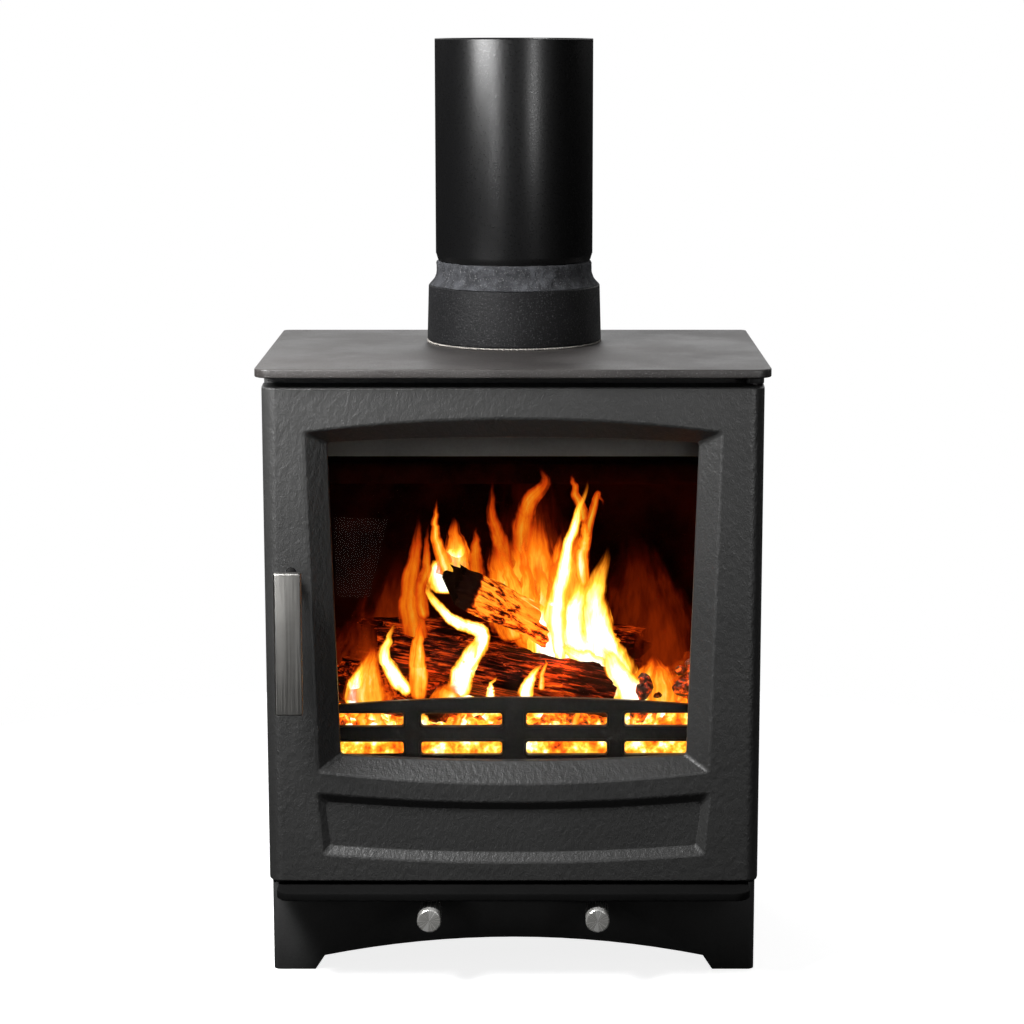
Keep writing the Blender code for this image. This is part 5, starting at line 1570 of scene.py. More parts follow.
    def rope_channel(self, door: Piece, at: Box) -> None:
        """Cut the rope's channel, as a block with round corners less its core.

        Args:
            door: The casting.
            at: Its box.
        """
        rope = Box.of("door_rope_seal")
        width, radius, depth = self.channel
        blocks = []
        for name, inset, past in (("channel", 0.0, 0.0), ("core", width, PAST)):
            x = rope.hi.x + GAP - inset
            plan = rounded_rect(-x, x, rope.lo.z - GAP + inset, rope.hi.z + GAP - inset, radius - inset, 10)
            blocks.append(loft(name, [upright(plan, at.hi.y - depth - past),
                                      upright(plan, at.hi.y + PAST + past)]))
        channel, core = blocks
        carve(channel, core)
        carve(door, channel)

    def side_hollows(self, door: Piece, at: Box) -> None:
        """Cut the latch's hollow and the hollows behind the door's sides.

        Args:
            door: The casting.
            at: Its box.
        """
        shaft, behind = Box.of("spindle_bush").mid, at.hi.y + PAST
        clear, width, depth, half = self.latch
        reach = Box.of("door_rope_seal").lo.x - GAP - clear
        carve(door, block("latch_hollow", (reach - width, at.hi.y - depth, shaft.z - half),
                          (reach, behind, shaft.z + half)))
        outer, inner = (at.hi.x - wall for wall in self.side_hollow)
        low, high = at.lo.z + self.side_end, at.hi.z - self.side_end
        for side, foot, head in ((1, low, high), (-1, low, shaft.z - self.spindle_rib),
                                 (-1, shaft.z + self.spindle_rib, high)):
            x0, x1 = sorted((side * inner, side * outer))
            carve(door, block("side_hollow", (x0, at.lo.y + self.skin, foot), (x1, behind, head)))

    def holes(self, door: Piece, at: Box) -> None:
        """Cut the hinge pins' holes and the stepped hole for the spindle and its bush.

        Args:
            door: The casting.
            at: Its box.
        """
        for pin in (Box.of("hinge_pin_top"), Box.of("hinge_pin_foot")):
            ends = (pin.lo.z - PAST, pin.hi.z + GAP)
            if pin.hi.z > at.mid.z:
                ends = (max(pin.lo.z, at.lo.z) - GAP, pin.hi.z + PAST)
            carve(door, turn("pin_hole", [(self.pin, end) for end in ends],
                             (pin.mid.x, pin.mid.y, 0.0), steps=32))
        bush = Box.of("spindle_bush")
        step, wide = bush.lo.y - GAP, bush.size.x / 2 + GAP
        mouth = [(self.spindle, at.lo.y - PAST), (self.spindle, step), (wide, step),
                 (wide, at.hi.y - self.bush_depth)]
        carve(door, turn("spindle_hole", mouth, (bush.mid.x, 0.0, bush.mid.z), Axis.Y, 48))

    def glazing(self) -> None:
        """Glass, gasket and the rope that seals the door."""
        glass, gasket, rope = Box.of("door_glass"), Box.of("glass_gasket"), Box.of("door_rope_seal")
        corner, edge = self.pane
        plan = rounded_rect(glass.lo.x, glass.hi.x, glass.lo.z, glass.hi.z, corner)
        pane = loft("door_glass_pane", [upright(plan, glass.lo.y), upright(plan, glass.hi.y)])
        soften(pane, edge, 2)
        dress(pane, Glass().material(), Body.DOOR, ["door_glass"])
        white_rope = Rope("rope_seal", (0.52, 0.48, 0.40), 0.0020).material()
        inset, corner, step = self.gasket
        line = rounded_rect(gasket.lo.x + inset, gasket.hi.x - inset, gasket.lo.z + inset,
                            gasket.hi.z - inset, corner)
        band = tube("glass_gasket_band", spaced(upright(line, gasket.mid.y), step), gasket.size.y / 2)
        dress(band, white_rope, Body.DOOR, ["glass_gasket"])
        corner, step = self.rope
        radius = rope.size.y / 2
        line = rounded_rect(rope.lo.x + radius, rope.hi.x - radius, rope.lo.z + radius,
                            rope.hi.z - radius, corner, 10)
        seal = tube("door_rope", spaced(upright(line, rope.mid.y), step), radius * 0.97, 0.03, 4)
        dress(seal, white_rope, Body.DOOR, ["door_rope_seal"])

    def build(self) -> None:
        """Build and dress the door."""
        self.casting()
        self.glazing()
        retouch(("glass_clamp_top", "glass_clamp_foot"), 0.0003, DARK_STEEL, Body.DOOR)


@dataclass
class Handle:
    """Flat lever of brushed steel on its spindle, and the latch.

    Args:
        corner: Radius of the lever's corners.
        chamfer: Chamfer round its face.
        ease: Rounding of the chamfer's edges.
        socket: Depth of the hole in its back for the spindle.
        tip: Chamfer of the spindle's ends.
    """
    corner: float = 0.002
    chamfer: float = 0.0012
    ease: float = 0.00025
    socket: float = 0.004
    tip: float = 0.0005

    def build(self) -> None:
        """Build and dress the handle."""
        at, shaft = Box.of("handle_lever"), Box.of("handle_spindle")
        axis = (shaft.mid.x, 0.0, shaft.mid.z)
        e, radius = self.chamfer, shaft.size.x / 2
        shape = rounded_rect(at.lo.x, at.hi.x, at.lo.z, at.hi.z, self.corner)
        small = rounded_rect(at.lo.x + e, at.hi.x - e, at.lo.z + e, at.hi.z - e, self.corner - e / 2)
        lever = loft("handle_lever_finished", [upright(small, at.lo.y), upright(shape, at.lo.y + e),
                                               upright(shape, at.hi.y - e / 2), upright(small, at.hi.y)])
        ends = (at.hi.y - self.socket, at.hi.y + PAST)
        carve(lever, turn("socket", [(radius + GAP, end) for end in ends], axis, Axis.Y, 48))
        soften(lever, self.ease, 2, 30.0)
        dress(lever, BRUSHED_LEVER.material(), Body.HANDLE, ["handle_lever"])
        e = self.tip
        profile = [(radius - e, shaft.lo.y), (radius, shaft.lo.y + e), (radius, shaft.hi.y - e),
                   (radius - e, shaft.hi.y)]
        spindle = turn("handle_spindle_finished", profile, axis, Axis.Y, 48)
        smooth(spindle)
        dress(spindle, DARK_STEEL.material(), Body.HANDLE, ["handle_spindle"])
        retouch(("latch_cam", "cam_nut"), 0.0003, DARK_STEEL, Body.HANDLE)
        retouch(("latch_keeper",), 0.0004, DARK_STEEL, Body.STOVE)


@dataclass
class AirKnob:
    """One turned knob of the air controls.

    Args:
        word: Which control it works.
        body: The body that it rides on.
        tilt: Turn of the painted highlight on its face, in degrees.
        chamfer: Chamfer round its face.
        ease: Rounding of the chamfer's edges.
        cone: Depth of the shallow cone in its face.
        point: Radius of the flat at the cone's middle.
    """
    word: str
    body: Body
    tilt: float = 0.0
    chamfer: float = 0.0011
    ease: float = 0.00015
    cone: float = 0.0009
    point: float = 0.0004

    def build(self) -> None:
        """Build and dress the knob."""
        node = f"{self.word}_knob"
        at, rod = Box.of(node), Box.of(f"{self.word}_rod")
        r, c = at.size.x / 2, self.chamfer
        bore = rod.size.x / 2 + GAP
        profile = [(self.point, at.lo.y + self.cone), (r - c, at.lo.y), (r, at.lo.y + c), (r, at.hi.y - c),
                   (r - c, at.hi.y), (bore, at.hi.y), (bore, rod.lo.y - GAP)]
        knob = turn(f"{node}_finished", profile, (at.mid.x, 0.0, at.mid.z), Axis.Y, 128)
        soften(knob, self.ease, 2, 20.0)
        finish = Turned(f"turned_{self.word}", (at.mid.x, at.mid.z), tilt=self.tilt)
        dress(knob, finish.material(), self.body, [node])


@dataclass
class Firebox:
    """Bricks, baffle, ducts, grate and the fret that keeps the logs back.

    Args:
        brick_edge: Rounding of the bricks' edges.
        fret_arch: Rise of the fret's top edge.
        slot_height: Height of its slots.
        rows: Foot of each row of slots above the fret's foot.
        mid_post: Width of its middle post.
        slot_width: Width of its inner slots.
        post: Width of the post beside them.
        side: Width of its outer stiles.
        slot_corner: Radius of the slots' corners.
        fret_edge: Rounding of the fret's edges.
        bead: Radius of the raised bead round each slot.
        bead_step: Spacing of the bead's points.
    """
    brick_edge: float = 0.0020
    fret_arch: float = 0.0080
    slot_height: float = 0.0124
    rows: Point2 = (0.0094, 0.0370)
    mid_post: float = 0.023
    slot_width: float = 0.0762
    post: float = 0.017
    side: float = 0.0103
    slot_corner: float = 0.003
    fret_edge: float = 0.0009
    bead: float = 0.0014
    bead_step: float = 0.0016

    def slots(self, at: Box) -> list[list[Point2]]:
        """Outlines of the fret's slots.

        Args:
            at: The fret's box.

        Returns:
            The outline of each slot in x and z.
        """
        inner = self.mid_post / 2
        outer = inner + self.slot_width + self.post
        outlines = []
        for sign in (-1, 1):
            for x, width in ((inner, self.slot_width), (outer, at.hi.x - self.side - outer)):
                for low in self.rows:
                    x0, x1 = sorted((sign * x, sign * (x + width)))
                    z0 = at.lo.z + low
                    outlines.append(rounded_rect(x0, x1, z0, z0 + self.slot_height, self.slot_corner, 6))
        return outlines

    def fret(self) -> None:
        """The cast fret, with a bead round each slot and a rolled top edge."""
        at = Box.of("log_retainer")
        half = at.hi.x
        crown = arch(half, at.hi.z - self.fret_arch, self.fret_arch, 48)
        outline = [(-half, at.lo.z), (half, at.lo.z), *crown]
        face = at.lo.y + self.bead
        fret = loft("fret_finished", [upright(outline, face), upright(outline, at.hi.y)])
        slots = self.slots(at)
        for shape in slots:
            carve(fret, loft("slot", [upright(shape, face - PAST), upright(shape, at.hi.y + PAST)]))
        soften(fret, self.fret_edge, 3)
        dress(fret, LIT_FRET_CAST.material(), Body.STOVE, ["log_retainer"])
        for number, shape in enumerate(slots, 1):
            x0, z0 = (sum(values) / len(shape) for values in zip(*shape))
            spread = [(x + math.copysign(self.bead, x - x0), z + math.copysign(self.bead, z - z0))
                      for x, z in shape]
            bead = tube(f"fret_bead_{number}", spaced(upright(spread, face), self.bead_step), self.bead)
            dress(bead, LIT_FRET_CAST.material(), Body.STOVE)

    def linings(self) -> None:
        """Bricks, baffle, ducts and grate."""
        for node in ("firebrick_left", "firebrick_right", "firebrick_back", "throat_plate"):
            piece = refined(node, self.brick_edge, 3)
            dress(piece, Brick().material(), Body.STOVE, [node])
        for nodes, width, finish, body, slot in (
                (("airwash_duct",), 0.0005, LIT_DUCT_PAINT, Body.STOVE, "stove_paint"),
                (("airwash_riser_left", "airwash_riser_right"), 0.0005, SOOTED, Body.STOVE, "stove_paint"),
                (("grate_frame",), 0.0008, RAW_CAST, Body.STOVE, "raw_cast"),
                (("riddling_grate",), 0.0006, RAW_CAST, Body.RIDDLE, "raw_cast"),
                (("ash_pan",), 0.0003, DARK_STEEL, Body.STOVE, "dark_steel")):
            retouch(nodes, width, finish, body)

    def build(self) -> None:
        """Build and dress the firebox."""
        self.linings()
        self.fret()


@dataclass(frozen=True)
class Log:
    """One burning log.

    Args:
        name: Its name.
        start: Middle of its first end.
        end: Middle of its other end.
        radius: Its radius.
        spin: Turn about its own length, in degrees.
        split: Where its flat split face lies, as a share of the radius, or None if it is round.
        finish: Its finish.
    """
    name: str
    start: Triple
    end: Triple
    radius: float
    spin: float
    split: Optional[float]
    finish: Wood

    def build(self) -> None:
        """Turn the log, split it, roughen its bark along its length and lay it down."""
        start, end = Vector(self.start), Vector(self.end)
        length = (end - start).length
        squeeze, rings, profile = 4.0, 44, []
        for i in range(rings + 1):
            share = i / rings
            swell = 1.0 + 0.07 * noise.noise(Vector((share * 5.0, self.radius * 90.0, self.spin)))
            profile.append((self.radius * swell, length / squeeze * share))
        log = turn(self.name, profile, (0, 0, 0), steps=56)
        if self.split is not None:
            with editing(log):
                bpy.ops.mesh.select_all(action="SELECT")
                bpy.ops.mesh.bisect(plane_co=(0, self.radius * self.split, 0), plane_no=(0.12, 1, 0),
                                    use_fill=True, clear_outer=True)
        roughen(log, self.radius * 0.30, self.radius * 0.34)
        roughen(log, self.radius * 0.10, self.radius * 0.10)
        log.scale.z = squeeze
        settle(log)
        log.rotation_euler.z = math.radians(self.spin)
        settle(log)
        log.rotation_mode = "QUATERNION"
        log.rotation_quaternion = (end - start).to_track_quat("Z", "Y")
        log.location = start
        settle(log)
        smooth(log, 45.0)
        dress(log, self.finish.material(), Body.STOVE)


@dataclass(frozen=True)
class Tongue:
    """One tongue of flame, as a thin ribbon along a curved line.

    Args:
        heat: How hot it is.
        y: Depth of its foot in the firebox.
        width: Its greatest width.
        spine: Points of its line in x and z, from its foot up.
        lean: How much farther back its tip is than its foot.
    """
    heat: Heat
    y: float
    width: float
    spine: tuple[Point2, ...]
    lean: float = 0.0

    @classmethod
    def drawn(cls, heat: Heat, y: int, width: int, lean: int, *spine: tuple[int, int]) -> "Tongue":
        """A tongue drawn in millimetres."""
        return cls(heat, y / 1000, width / 1000, tuple((x / 1000, z / 1000) for x, z in spine), lean / 1000)

    def at(self, share: float) -> Vector:
        """Find a point of the smooth line.

        Args:
            share: How far up it is, from 0 to 1.

        Returns:
            Its x and z.
        """
        points = [Vector(p) for p in self.spine]
        last = len(points) - 1
        i = min(int(share * last), last - 1)
        t = share * last - i
        a, b, c, d = points[max(i - 1, 0)], points[i], points[i + 1], points[min(i + 2, last)]
        return 0.5 * (2 * b + (c - a) * t + (2 * a - 5 * b + 4 * c - d) * t * t
                      + (3 * b - a - 3 * c + d) * t ** 3)

    def build(self, number: int) -> Piece:
        """Shape a grid into the ribbon.

        Args:
            number: Its number, which shapes its flutter.

        Returns:
            The ribbon.
        """
        fresh()
        bpy.ops.mesh.primitive_grid_add(x_subdivisions=10, y_subdivisions=36, size=1.0, calc_uvs=True)
        ribbon = named(f"flame_{number}")
        flutter = 0.006

        def place(point: Vector) -> Vector:
            """Lay the flat grid along the line.

            Args:
                point: A point of the grid.

            Returns:
                Its place on the ribbon.
            """
            share = point.y + 0.5
            here = self.at(share)
            ahead = (self.at(min(share + 0.02, 1.0)) - self.at(max(share - 0.02, 0.0))).normalized()
            swell = min(1.0, (share + 0.12) / 0.30) ** 0.7 * (1.0 - share ** 1.15) ** 0.9
            wave = noise.fractal(Vector((number * 3.1, share * 3.4, 0.0)), 0.8, 2.3, 3) * flutter
            reach = point.x * self.width * max(swell, 0.02)
            fold = math.cos(point.x * math.pi) * self.width * 0.15
            return Vector((here.x + ahead.y * reach + wave * share,
                           self.y + self.lean * share - fold + wave, here.y - ahead.x * reach))

        reshape(ribbon, place)
        modify(ribbon, "SOLIDIFY", thickness=0.0004, offset=0.0)
        smooth(ribbon, 60.0)
        return ribbon


@dataclass
class Fire:
    """Logs, embers and flames on the grate.

    Args:
        bed_height: Height of the ember bed above the grate.
        coals: How many loose coals lie on it.
        sparks: How many small flames are drawn at random.
        seed: Seed of the coals' and small flames' places.
    """
    bed_height: float = 0.026
    coals: int = 90
    sparks: int = 18
    seed: int = 7

    def bed(self) -> None:
        """The bed of embers over the grate."""
        grate, fret, back = Box.of("grate_frame"), Box.of("log_retainer"), Box.of("firebrick_back")
        x, y0, y1 = grate.hi.x - 0.006, fret.hi.y + 0.004, back.hi.y - back.size.y - 0.004
        fresh()
        bpy.ops.mesh.primitive_grid_add(x_subdivisions=150, y_subdivisions=72, size=1.0,
                                        location=(0, (y0 + y1) / 2, grate.hi.z + self.bed_height))
        bed = named("ember_bed")
        bed.scale = (2 * x, y1 - y0, 1.0)
        settle(bed)

        def heap(point: Vector) -> Vector:
            """Raise the bed into lumps, higher at the back and the right.

            Args:
                point: A point of the bed.

            Returns:
                Its new place.
            """
            back_rise = 0.5 * (point.y - y0) / (y1 - y0)
            right = max(0.0, (point.x - 0.10) / 0.09) ** 1.5 * 0.035
            lumps = noise.fractal(point * 46.0, 0.9, 2.2, 3) * 0.010
            return Vector((point.x, point.y, point.z + lumps + right + back_rise * 0.02))

        reshape(bed, heap)
        roughen(bed, 0.008, 0.009, "VORONOI")
        with editing(bed):
            bpy.ops.mesh.select_all(action="SELECT")
            bpy.ops.mesh.extrude_region_move(TRANSFORM_OT_translate={"value": (0, 0, -self.bed_height)})
            bpy.ops.transform.resize(value=(1, 1, 0), center_override=(0, 0, grate.hi.z + GAP))
        close_up(bed)
        smooth(bed, 60.0)
        dress(bed, Embers("embers", 2.2, 0.78, 0.016).material(), Body.STOVE)

    def loose_coals(self) -> None:
        """Coals that lie on the bed, modelled once and copied."""
        grate = Box.of("grate_frame")
        fresh()
        bpy.ops.mesh.primitive_ico_sphere_add(subdivisions=2, radius=0.009)
        coal = named("coal")
        roughen(coal, 0.007, 0.007, "VORONOI")
        draw = random.Random(self.seed)
        copies = []
        for number in range(self.coals):
            take(coal)
            bpy.ops.object.duplicate()
            copy = named(f"coal_{number}")
            right = number % 3 == 0
            x = draw.uniform(0.115, 0.180) if right else draw.uniform(-0.180, 0.130)
            y = draw.uniform(-0.055, 0.03)
            rise = draw.uniform(0.030, 0.075) if right else draw.uniform(0.024, 0.034)
            copy.location = (x, y, grate.hi.z + rise)
            copy.rotation_euler = [draw.uniform(0, math.tau) for _ in range(3)]
            size = draw.uniform(0.45, 1.15)
            copy.scale = (size, size * draw.uniform(0.7, 1.0), size * draw.uniform(0.6, 0.9))
            settle(copy)
            copies.append(copy)
        bpy.data.objects.remove(coal)
        fresh()
        for copy in copies:
            copy.select_set(True)
        bpy.context.view_layer.objects.active = copies[0]
        bpy.ops.object.join()
        pile = named("glowing_coals")
        smooth(pile, 50.0)
        dress(pile, Embers("coal_glow", 1.9, 0.52, 0.007).material(), Body.STOVE)

    def logs(self) -> None:
        """The logs, from the upper split one down."""
        bark = Wood("bark_log", (0.010, 0.004, 0.003), (0.30, 0.060, 0.006), 0.80, 0.50, 0.64,
                    (260.0, 260.0, 40.0), 62.0, 0.198)
        char = Wood("charred_log", (0.010, 0.003, 0.002), (0.10, 0.014, 0.004), 0.58, 0.45, 0.30,
                    (420.0, 420.0, 30.0), 79.3)
        for log in (
                Log("upper_log", (-0.062, -0.018, 0.356), (0.085, 0.030, 0.278), 0.025, 205.0, 0.15, bark),
                Log("lower_log", (-0.130, -0.010, 0.290), (0.092, -0.026, 0.248), 0.032, 160.0, 0.45, char),
                Log("rear_log", (-0.150, 0.060, 0.275), (0.120, 0.075, 0.262), 0.036, 30.0, None, char),
                Log("left_log", (-0.165, 0.020, 0.262), (-0.060, -0.030, 0.247), 0.024, 80.0, None, char),
                Log("small_log", (0.112, -0.030, 0.252), (0.150, -0.010, 0.250), 0.0085, 10.0, None, bark)):
            log.build()

    def tongues(self) -> None:
        """The larger tongues, listed roughly back to front, and small ones at random."""
        white, gold, wisp, sheet, haze = Heat.WHITE, Heat.GOLD, Heat.WISP, Heat.SHEET, Heat.HAZE
        drawn = [Tongue.drawn(*row) for row in (
            (haze, 100, 170, 0, (130, 225), (125, 285), (118, 345), (110, 410)),
            (haze, 102, 200, 0, (20, 225), (22, 300), (18, 390), (10, 500)),
            (haze, 98, 150, 0, (-120, 225), (-124, 280), (-118, 330), (-105, 390)),
            (haze, 30, 110, 0, (140, 235), (138, 280), (134, 325), (126, 370)),
            (haze, 20, 100, 0, (-148, 235), (-146, 275), (-140, 310), (-132, 345)),
            (sheet, 20, 90, -14, (34, 285), (28, 325), (24, 365), (22, 405), (24, 440)),
            (sheet, 14, 70, -14, (56, 282), (54, 320), (56, 358), (62, 400), (66, 432)),
            (sheet, 15, 60, -12, (4, 300), (-6, 335), (-14, 372), (-18, 412)),
            (sheet, 16, 66, -8, (26, 291), (14, 326), (5, 357), (-1, 388), (-5, 409)),
            (sheet, 12, 60, -6, (37, 292), (39, 327), (41, 358), (45, 385), (46, 408)),
            (sheet, 18, 50, -8, (26, 302), (21, 334), (18, 361), (17, 384)),
            (wisp, 14, 30, -36, (14, 318), (-1, 351), (-13, 386), (-19, 418), (-22, 449), (-25, 477)),
            (wisp, 14, 32, -40, (14, 353), (8, 389), (8, 416), (14, 438), (25, 453), (27, 469), (20, 485)),
            (wisp, 2, 12, -22, (67, 382), (69, 409), (74, 433), (78, 447), (83, 440), (82, 428)),
            (wisp, -4, 14, -16, (66, 417), (61, 439), (55, 457), (52, 469)),
            (wisp, 12, 24, 0, (-34, 349), (-37, 372), (-40, 395), (-39, 416)),
            (sheet, 18, 46, 0, (-55, 352), (-56, 375), (-58, 398), (-55, 425)),
            (wisp, 10, 14, 0, (-14, 346), (-15, 359), (-13, 371)),
            (gold, 12, 24, -10, (20, 300), (3, 339), (-8, 368), (-16, 401)),
            (gold, 13, 22, -14, (24, 299), (18, 335), (11, 366), (10, 393), (11, 419)),
            (gold, 10, 24, -8, (29, 298), (35, 335), (37, 366), (42, 393), (45, 412)),
            (gold, 6, 46, -4, (20, 297), (18, 321), (20, 342), (22, 361)),
            (gold, 10, 36, -12, (26, 288), (13, 322), (0, 351), (-10, 379), (-18, 409)),
            (gold, 9, 36, -10, (29, 289), (20, 322), (13, 351), (8, 377), (5, 406)),
            (gold, 8, 34, -10, (35, 289), (29, 322), (26, 348), (24, 371), (26, 402)),
            (gold, 7, 36, -10, (41, 289), (41, 322), (41, 348), (42, 373), (47, 408)),
            (white, 22, 56, 0, (-61, 344), (-62, 361), (-58, 376), (-53, 388), (-56, 401)),
            (gold, 14, 18, -4, (-59, 353), (-69, 382), (-75, 403), (-75, 424), (-72, 445)),
            (gold, 2, 20, -20, (66, 352), (63, 387), (68, 413), (74, 437)),
            (white, -6, 56, 0, (41, 277), (31, 296), (26, 315), (29, 338), (33, 361)),
            (white, -8, 62, 0, (106, 241), (89, 277), (76, 308), (75, 342), (84, 373), (93, 410)),
            (white, -10, 48, 0, (78, 259), (61, 293), (57, 324), (61, 354), (66, 385)),
            (white, -12, 40, 0, (56, 275), (42, 297), (40, 332), (44, 358), (49, 389)),
            (white, -14, 22, -12, (45, 279), (40, 318), (43, 356), (51, 394), (59, 424), (67, 451),
             (75, 474)),
            (white, -16, 36, 0, (104, 249), (91, 270), (70, 287), (44, 300), (20, 316)),
            (white, -44, 40, 0, (120, 240), (109, 263), (96, 282), (87, 301), (83, 316)),
            (wisp, -24, 30, 0, (-88, 281), (-94, 312), (-99, 342), (-98, 372), (-92, 399), (-90, 421),
             (-84, 443)),
            (wisp, -26, 18, 0, (-85, 327), (-89, 354), (-84, 380), (-80, 406), (-83, 431)),
            (white, -46, 20, 0, (-59, 264), (-42, 292), (-29, 318), (-51, 330), (-69, 342), (-80, 356),
             (-80, 370), (-68, 390)),
            (white, -47, 34, 0, (-54, 258), (-48, 283), (-39, 306), (-32, 320)),
            (white, -48, 21, 0, (-99, 260), (-114, 280), (-123, 298), (-118, 317), (-107, 338)),
            (gold, -46, 24, 0, (-91, 252), (-92, 283), (-91, 305), (-86, 324), (-82, 344)),
            (white, -50, 24, 0, (-151, 248), (-151, 268), (-145, 283), (-141, 300)),
            (white, -52, 12, 0, (-22, 256), (-22, 268), (-16, 281)),
            (white, -52, 20, 0, (10, 255), (12, 269), (17, 282), (22, 293)),
            (gold, -52, 8, 0, (25, 265), (28, 284), (32, 300)),
            (gold, -50, 56, 0, (-61, 248), (-60, 261), (-54, 276)),
            (gold, -34, 36, 0, (111, 244), (120, 265), (130, 284), (133, 299)),
            (sheet, -30, 50, 0, (141, 244), (140, 267), (136, 283), (131, 302)),
            (sheet, -46, 60, 0, (-137, 247), (-139, 271), (-137, 294), (-131, 317)))]
        for number, tongue in enumerate(drawn, 1):
            dress(tongue.build(number), FLAMES[tongue.heat].material(), Body.STOVE)
        draw = random.Random(self.seed + 1)
        for number in range(len(drawn) + 1, len(drawn) + 1 + self.sparks):
            x = draw.uniform(-0.160, 0.150)
            z = 0.222 + draw.uniform(0.0, 0.006)
            tall = draw.uniform(0.018, 0.036)
            lean = draw.uniform(-0.006, 0.006)
            heat = white if draw.random() < 0.5 else gold
            tongue = Tongue(heat, draw.uniform(-0.062, -0.050), draw.uniform(0.010, 0.022),
                            ((x, z), (x + lean, z + tall / 2), (x - lean / 2, z + tall)))
            dress(tongue.build(number), FLAMES[heat].material(), Body.STOVE)

    def build(self) -> None:
        """Build and light the fire."""
        self.bed()
        self.loose_coals()
        self.logs()
        self.tongues()


class Fittings:
    """Small parts of the frame that keep their shape and get their finish."""

    def build(self) -> None:
        """Dress each node that still shows, in stove paint where the record says so or else dark steel."""
        for node in frame["nodes"].values():
            if not node.hide_render:
                painted = node.data.materials[0].name.startswith("stove_paint")
                dress(node, (STOVE_PAINT if painted else DARK_STEEL).material())


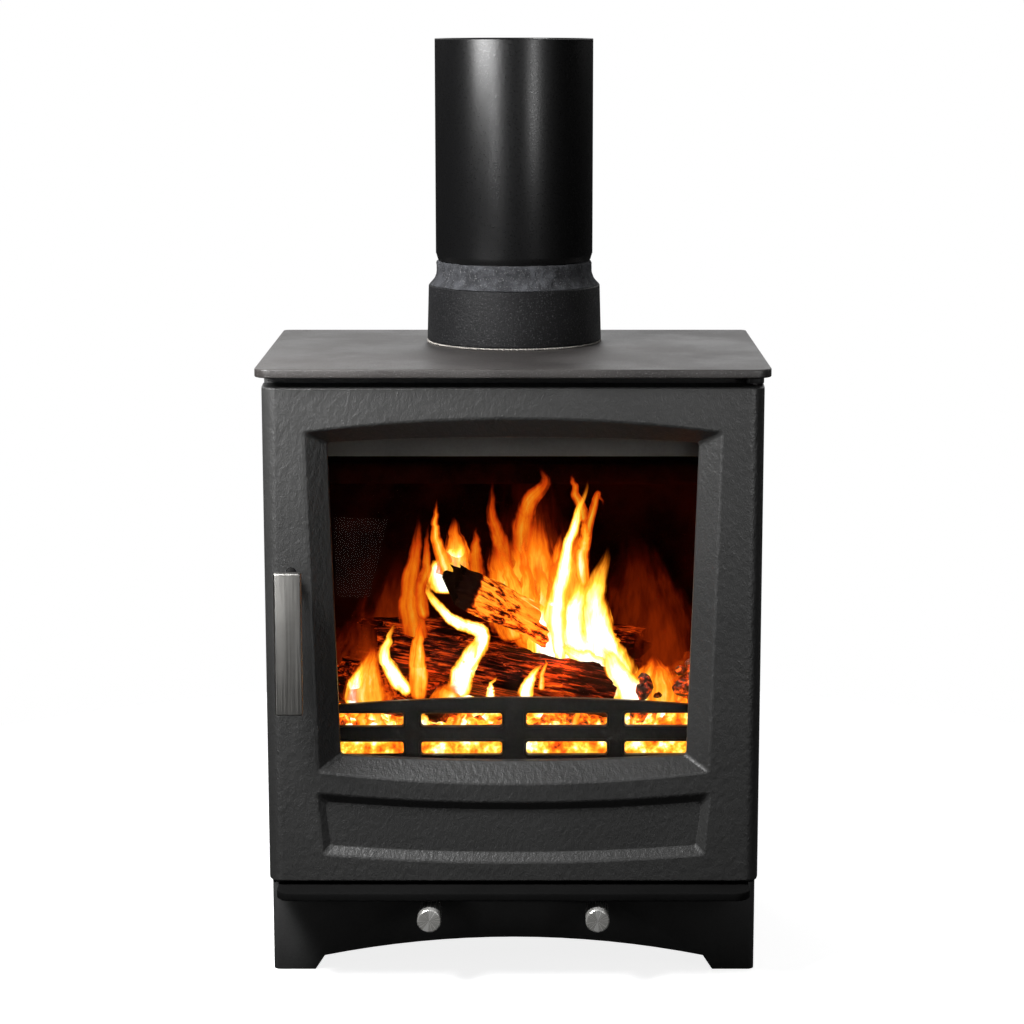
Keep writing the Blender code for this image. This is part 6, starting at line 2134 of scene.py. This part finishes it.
@dataclass
class Studio:
    """Pale floor, soft lamps, white surroundings and the camera.

    Args:
        floor_radius: Radius of the round floor.
        floor_lift: Light that the floor shows to the camera beside what falls on it.
        ambient: Strength of the light from above and all round.
        focal: Focal length for a sensor 36 mm wide.
        eye: The camera's place.
        pitch: How far it looks down, in degrees.
        shift: Its sideways shift.
    """
    floor_radius: float = 1.05
    floor_lift: float = 0.84
    ambient: float = 0.10
    focal: float = 95.73
    eye: Triple = (0.0155, -2.585, 0.901)
    pitch: float = 10.364
    shift: float = -0.0176

    def camera(self) -> None:
        """The camera at the photograph's angle."""
        fresh()
        bpy.ops.object.camera_add(location=self.eye, rotation=(math.radians(90 - self.pitch), 0, 0))
        camera = bpy.context.active_object
        camera.name = "camera"
        camera.data.lens = self.focal
        camera.data.sensor_width = 36.0
        camera.data.shift_x = self.shift
        camera.data.clip_start, camera.data.clip_end = 0.05, 50.0
        bpy.context.scene.camera = camera

    def floor(self) -> None:
        """A pale round floor that keeps the stove's shadow and sends little light back up at it."""
        fresh()
        bpy.ops.mesh.primitive_cylinder_add(vertices=96, radius=self.floor_radius, depth=0.02,
                                            location=(0, 0, -0.0103))
        floor = named("floor")
        modify(floor, "BEVEL", width=0.002, segments=2)
        s = Surface("pale_floor", Roughness=0.9, Specular_IOR_Level=0.0)
        w = s.wiring
        speck = w.noise(s.place, 30.0, 3.0)
        pale = w.mix(speck, rgb(0.78, 0.78, 0.78), rgb(0.82, 0.82, 0.82))
        ray = w.put("ShaderNodeLightPath")
        s.feed(Base_Color=w.mix(ray.outputs["Is Camera Ray"], rgb(0.05, 0.05, 0.05), pale))
        lift = w.put("ShaderNodeEmission", Color=rgb(1, 1, 1), Strength=self.floor_lift)
        both = w.put("ShaderNodeAddShader")
        w.feed(both.inputs[0], s.shader.outputs[0])
        w.feed(both.inputs[1], lift.outputs[0])
        chosen = w.put("ShaderNodeMixShader", Fac=ray.outputs["Is Camera Ray"])
        w.feed(chosen.inputs[1], s.shader.outputs[0])
        w.feed(chosen.inputs[2], both.outputs[0])
        out = s.material.node_tree.nodes["Material Output"]
        w.feed(out.inputs["Surface"], chosen.outputs[0])
        floor.data.materials.append(s.material)

    def world(self) -> None:
        """White to the camera, soft light from above, and darkness in front for the gloss."""
        world = bpy.data.worlds.new("studio")
        world.use_nodes = True
        bpy.context.scene.world = world
        w = Wiring(world.node_tree)
        ray = w.put("ShaderNodeLightPath")
        coords = w.put("ShaderNodeTexCoord")
        way = w.put("ShaderNodeSeparateXYZ", Vector=coords.outputs["Generated"])
        behind = w.sum("MULTIPLY", w.ease(way.outputs[1], 0.05, 0.55), w.ease(way.outputs[2], 0.02, 0.22))
        mirrored = w.ease(behind, 0.0, 1.0, 0.020, 1.36)
        above = w.ease(way.outputs[2], 0.0, 0.90, 0.02, 1.0)
        bounces = w.sum("ADD", ray.outputs["Diffuse Depth"], ray.outputs["Glossy Depth"])
        direct = w.sum("LESS_THAN", bounces, 0.5)
        seen = w.sum("MAXIMUM", ray.outputs["Is Camera Ray"],
                     w.sum("MULTIPLY", ray.outputs["Is Transmission Ray"], direct))
        soft = w.sum("ADD", w.sum("MULTIPLY", ray.outputs["Is Glossy Ray"], mirrored),
                     w.sum("MULTIPLY", w.sum("SUBTRACT", 1.0, ray.outputs["Is Glossy Ray"]),
                           w.sum("MULTIPLY", above, self.ambient)))
        strength = w.sum("ADD", seen, w.sum("MULTIPLY", w.sum("SUBTRACT", 1.0, seen), soft))
        back = world.node_tree.nodes["Background"]
        w.feed(back.inputs["Color"], rgb(1, 1, 1))
        w.feed(back.inputs["Strength"], strength)

    def lamp(self, name: str, place: Triple, aim: Triple, size: Point2, power: float,
             soft: bool = True, gloss: bool = True) -> None:
        """Add a rectangular lamp.

        Args:
            name: Its name.
            place: Its middle.
            aim: The point that it faces.
            size: Its width and height.
            power: Its power in watts.
            soft: Whether it lights surfaces, and shines through glass.
            gloss: Whether surfaces mirror it.
        """
        fresh()
        bpy.ops.object.light_add(type="AREA", location=place)
        lamp = bpy.context.active_object
        lamp.name = name
        lamp.data.shape = "RECTANGLE"
        lamp.data.size, lamp.data.size_y = size
        lamp.data.energy = power
        lamp.visible_diffuse = lamp.visible_transmission = soft
        lamp.visible_glossy = gloss
        lamp.rotation_euler = (Vector(aim) - Vector(place)).to_track_quat("-Z", "Y").to_euler()

    def lamps(self) -> None:
        """The studio's soft lamps."""
        middle = (0.0, 0.0, 0.45)
        self.lamp("key", (-0.52, -0.50, 0.94), (-0.14, -0.13, 0.58), (0.36, 0.30), 15.0)
        self.lamp("fill", (1.6, -1.6, 1.3), middle, (1.0, 1.4), 1.5)
        self.lamp("overhead", (0.45, 0.5, 2.3), middle, (1.4, 1.2), 4.5)
        self.lamp("left_strip", (-0.95, -1.75, 0.72), (0, 0.08, 0.76), (0.08, 0.8), 13.0, soft=False)
        self.lamp("right_strip", (0.98, -1.75, 0.72), (0, 0.08, 0.76), (0.08, 0.8), 12.0, soft=False)
        self.lamp("left_card", (-0.68, -2.00, 0.08), (-0.22, -0.15, 0.34), (0.36, 0.46), 0.75, soft=False)
        self.lamp("right_fill", (1.9, 0.3, 0.7), middle, (0.8, 0.8), 5.0, gloss=False)
        self.lamp("rear_fill", (-0.9, 2.1, 0.7), middle, (1.0, 1.0), 7.0, gloss=False)

    def firelight(self) -> None:
        """Warm light inside the firebox."""
        for name, place, power, colour in (
                ("fire_middle", (0.045, -0.045, 0.300), 0.55, (1.0, 0.26, 0.05)),
                ("fire_left", (-0.090, -0.050, 0.275), 0.40, (1.0, 0.22, 0.04)),
                ("fire_right", (0.150, -0.010, 0.300), 0.36, (1.0, 0.14, 0.02)),
                ("fire_low", (0.0, 0.03, 0.245), 0.20, (1.0, 0.20, 0.03))):
            fresh()
            bpy.ops.object.light_add(type="POINT", location=place)
            lamp = bpy.context.active_object
            lamp.name = name
            lamp.data.energy = power
            lamp.data.color = colour
            lamp.data.shadow_soft_size = 0.02
            lamp.visible_camera = lamp.visible_glossy = lamp.visible_transmission = False

    def build(self) -> None:
        """Set up the studio."""
        self.camera()
        self.floor()
        self.world()
        self.lamps()
        self.firelight()
        scene = bpy.context.scene
        scene.view_settings.view_transform = "Standard"
        scene.cycles.transparent_max_bounces = 64


def main() -> None:
    """Build every sub-assembly of the stove in order, then the studio round it."""
    logging.basicConfig(level=logging.INFO, format="%(name)s: %(message)s")
    assemblies = [Casing(), Flue(), Door(), Handle(), AirKnob("primary", Body.PRIMARY, 22.0),
                  AirKnob("airwash", Body.AIRWASH, 8.0), Firebox(), Fire(), Fittings(), Studio()]
    for assembly in assemblies:
        assembly.build()


if __name__ == "__main__":
    main()
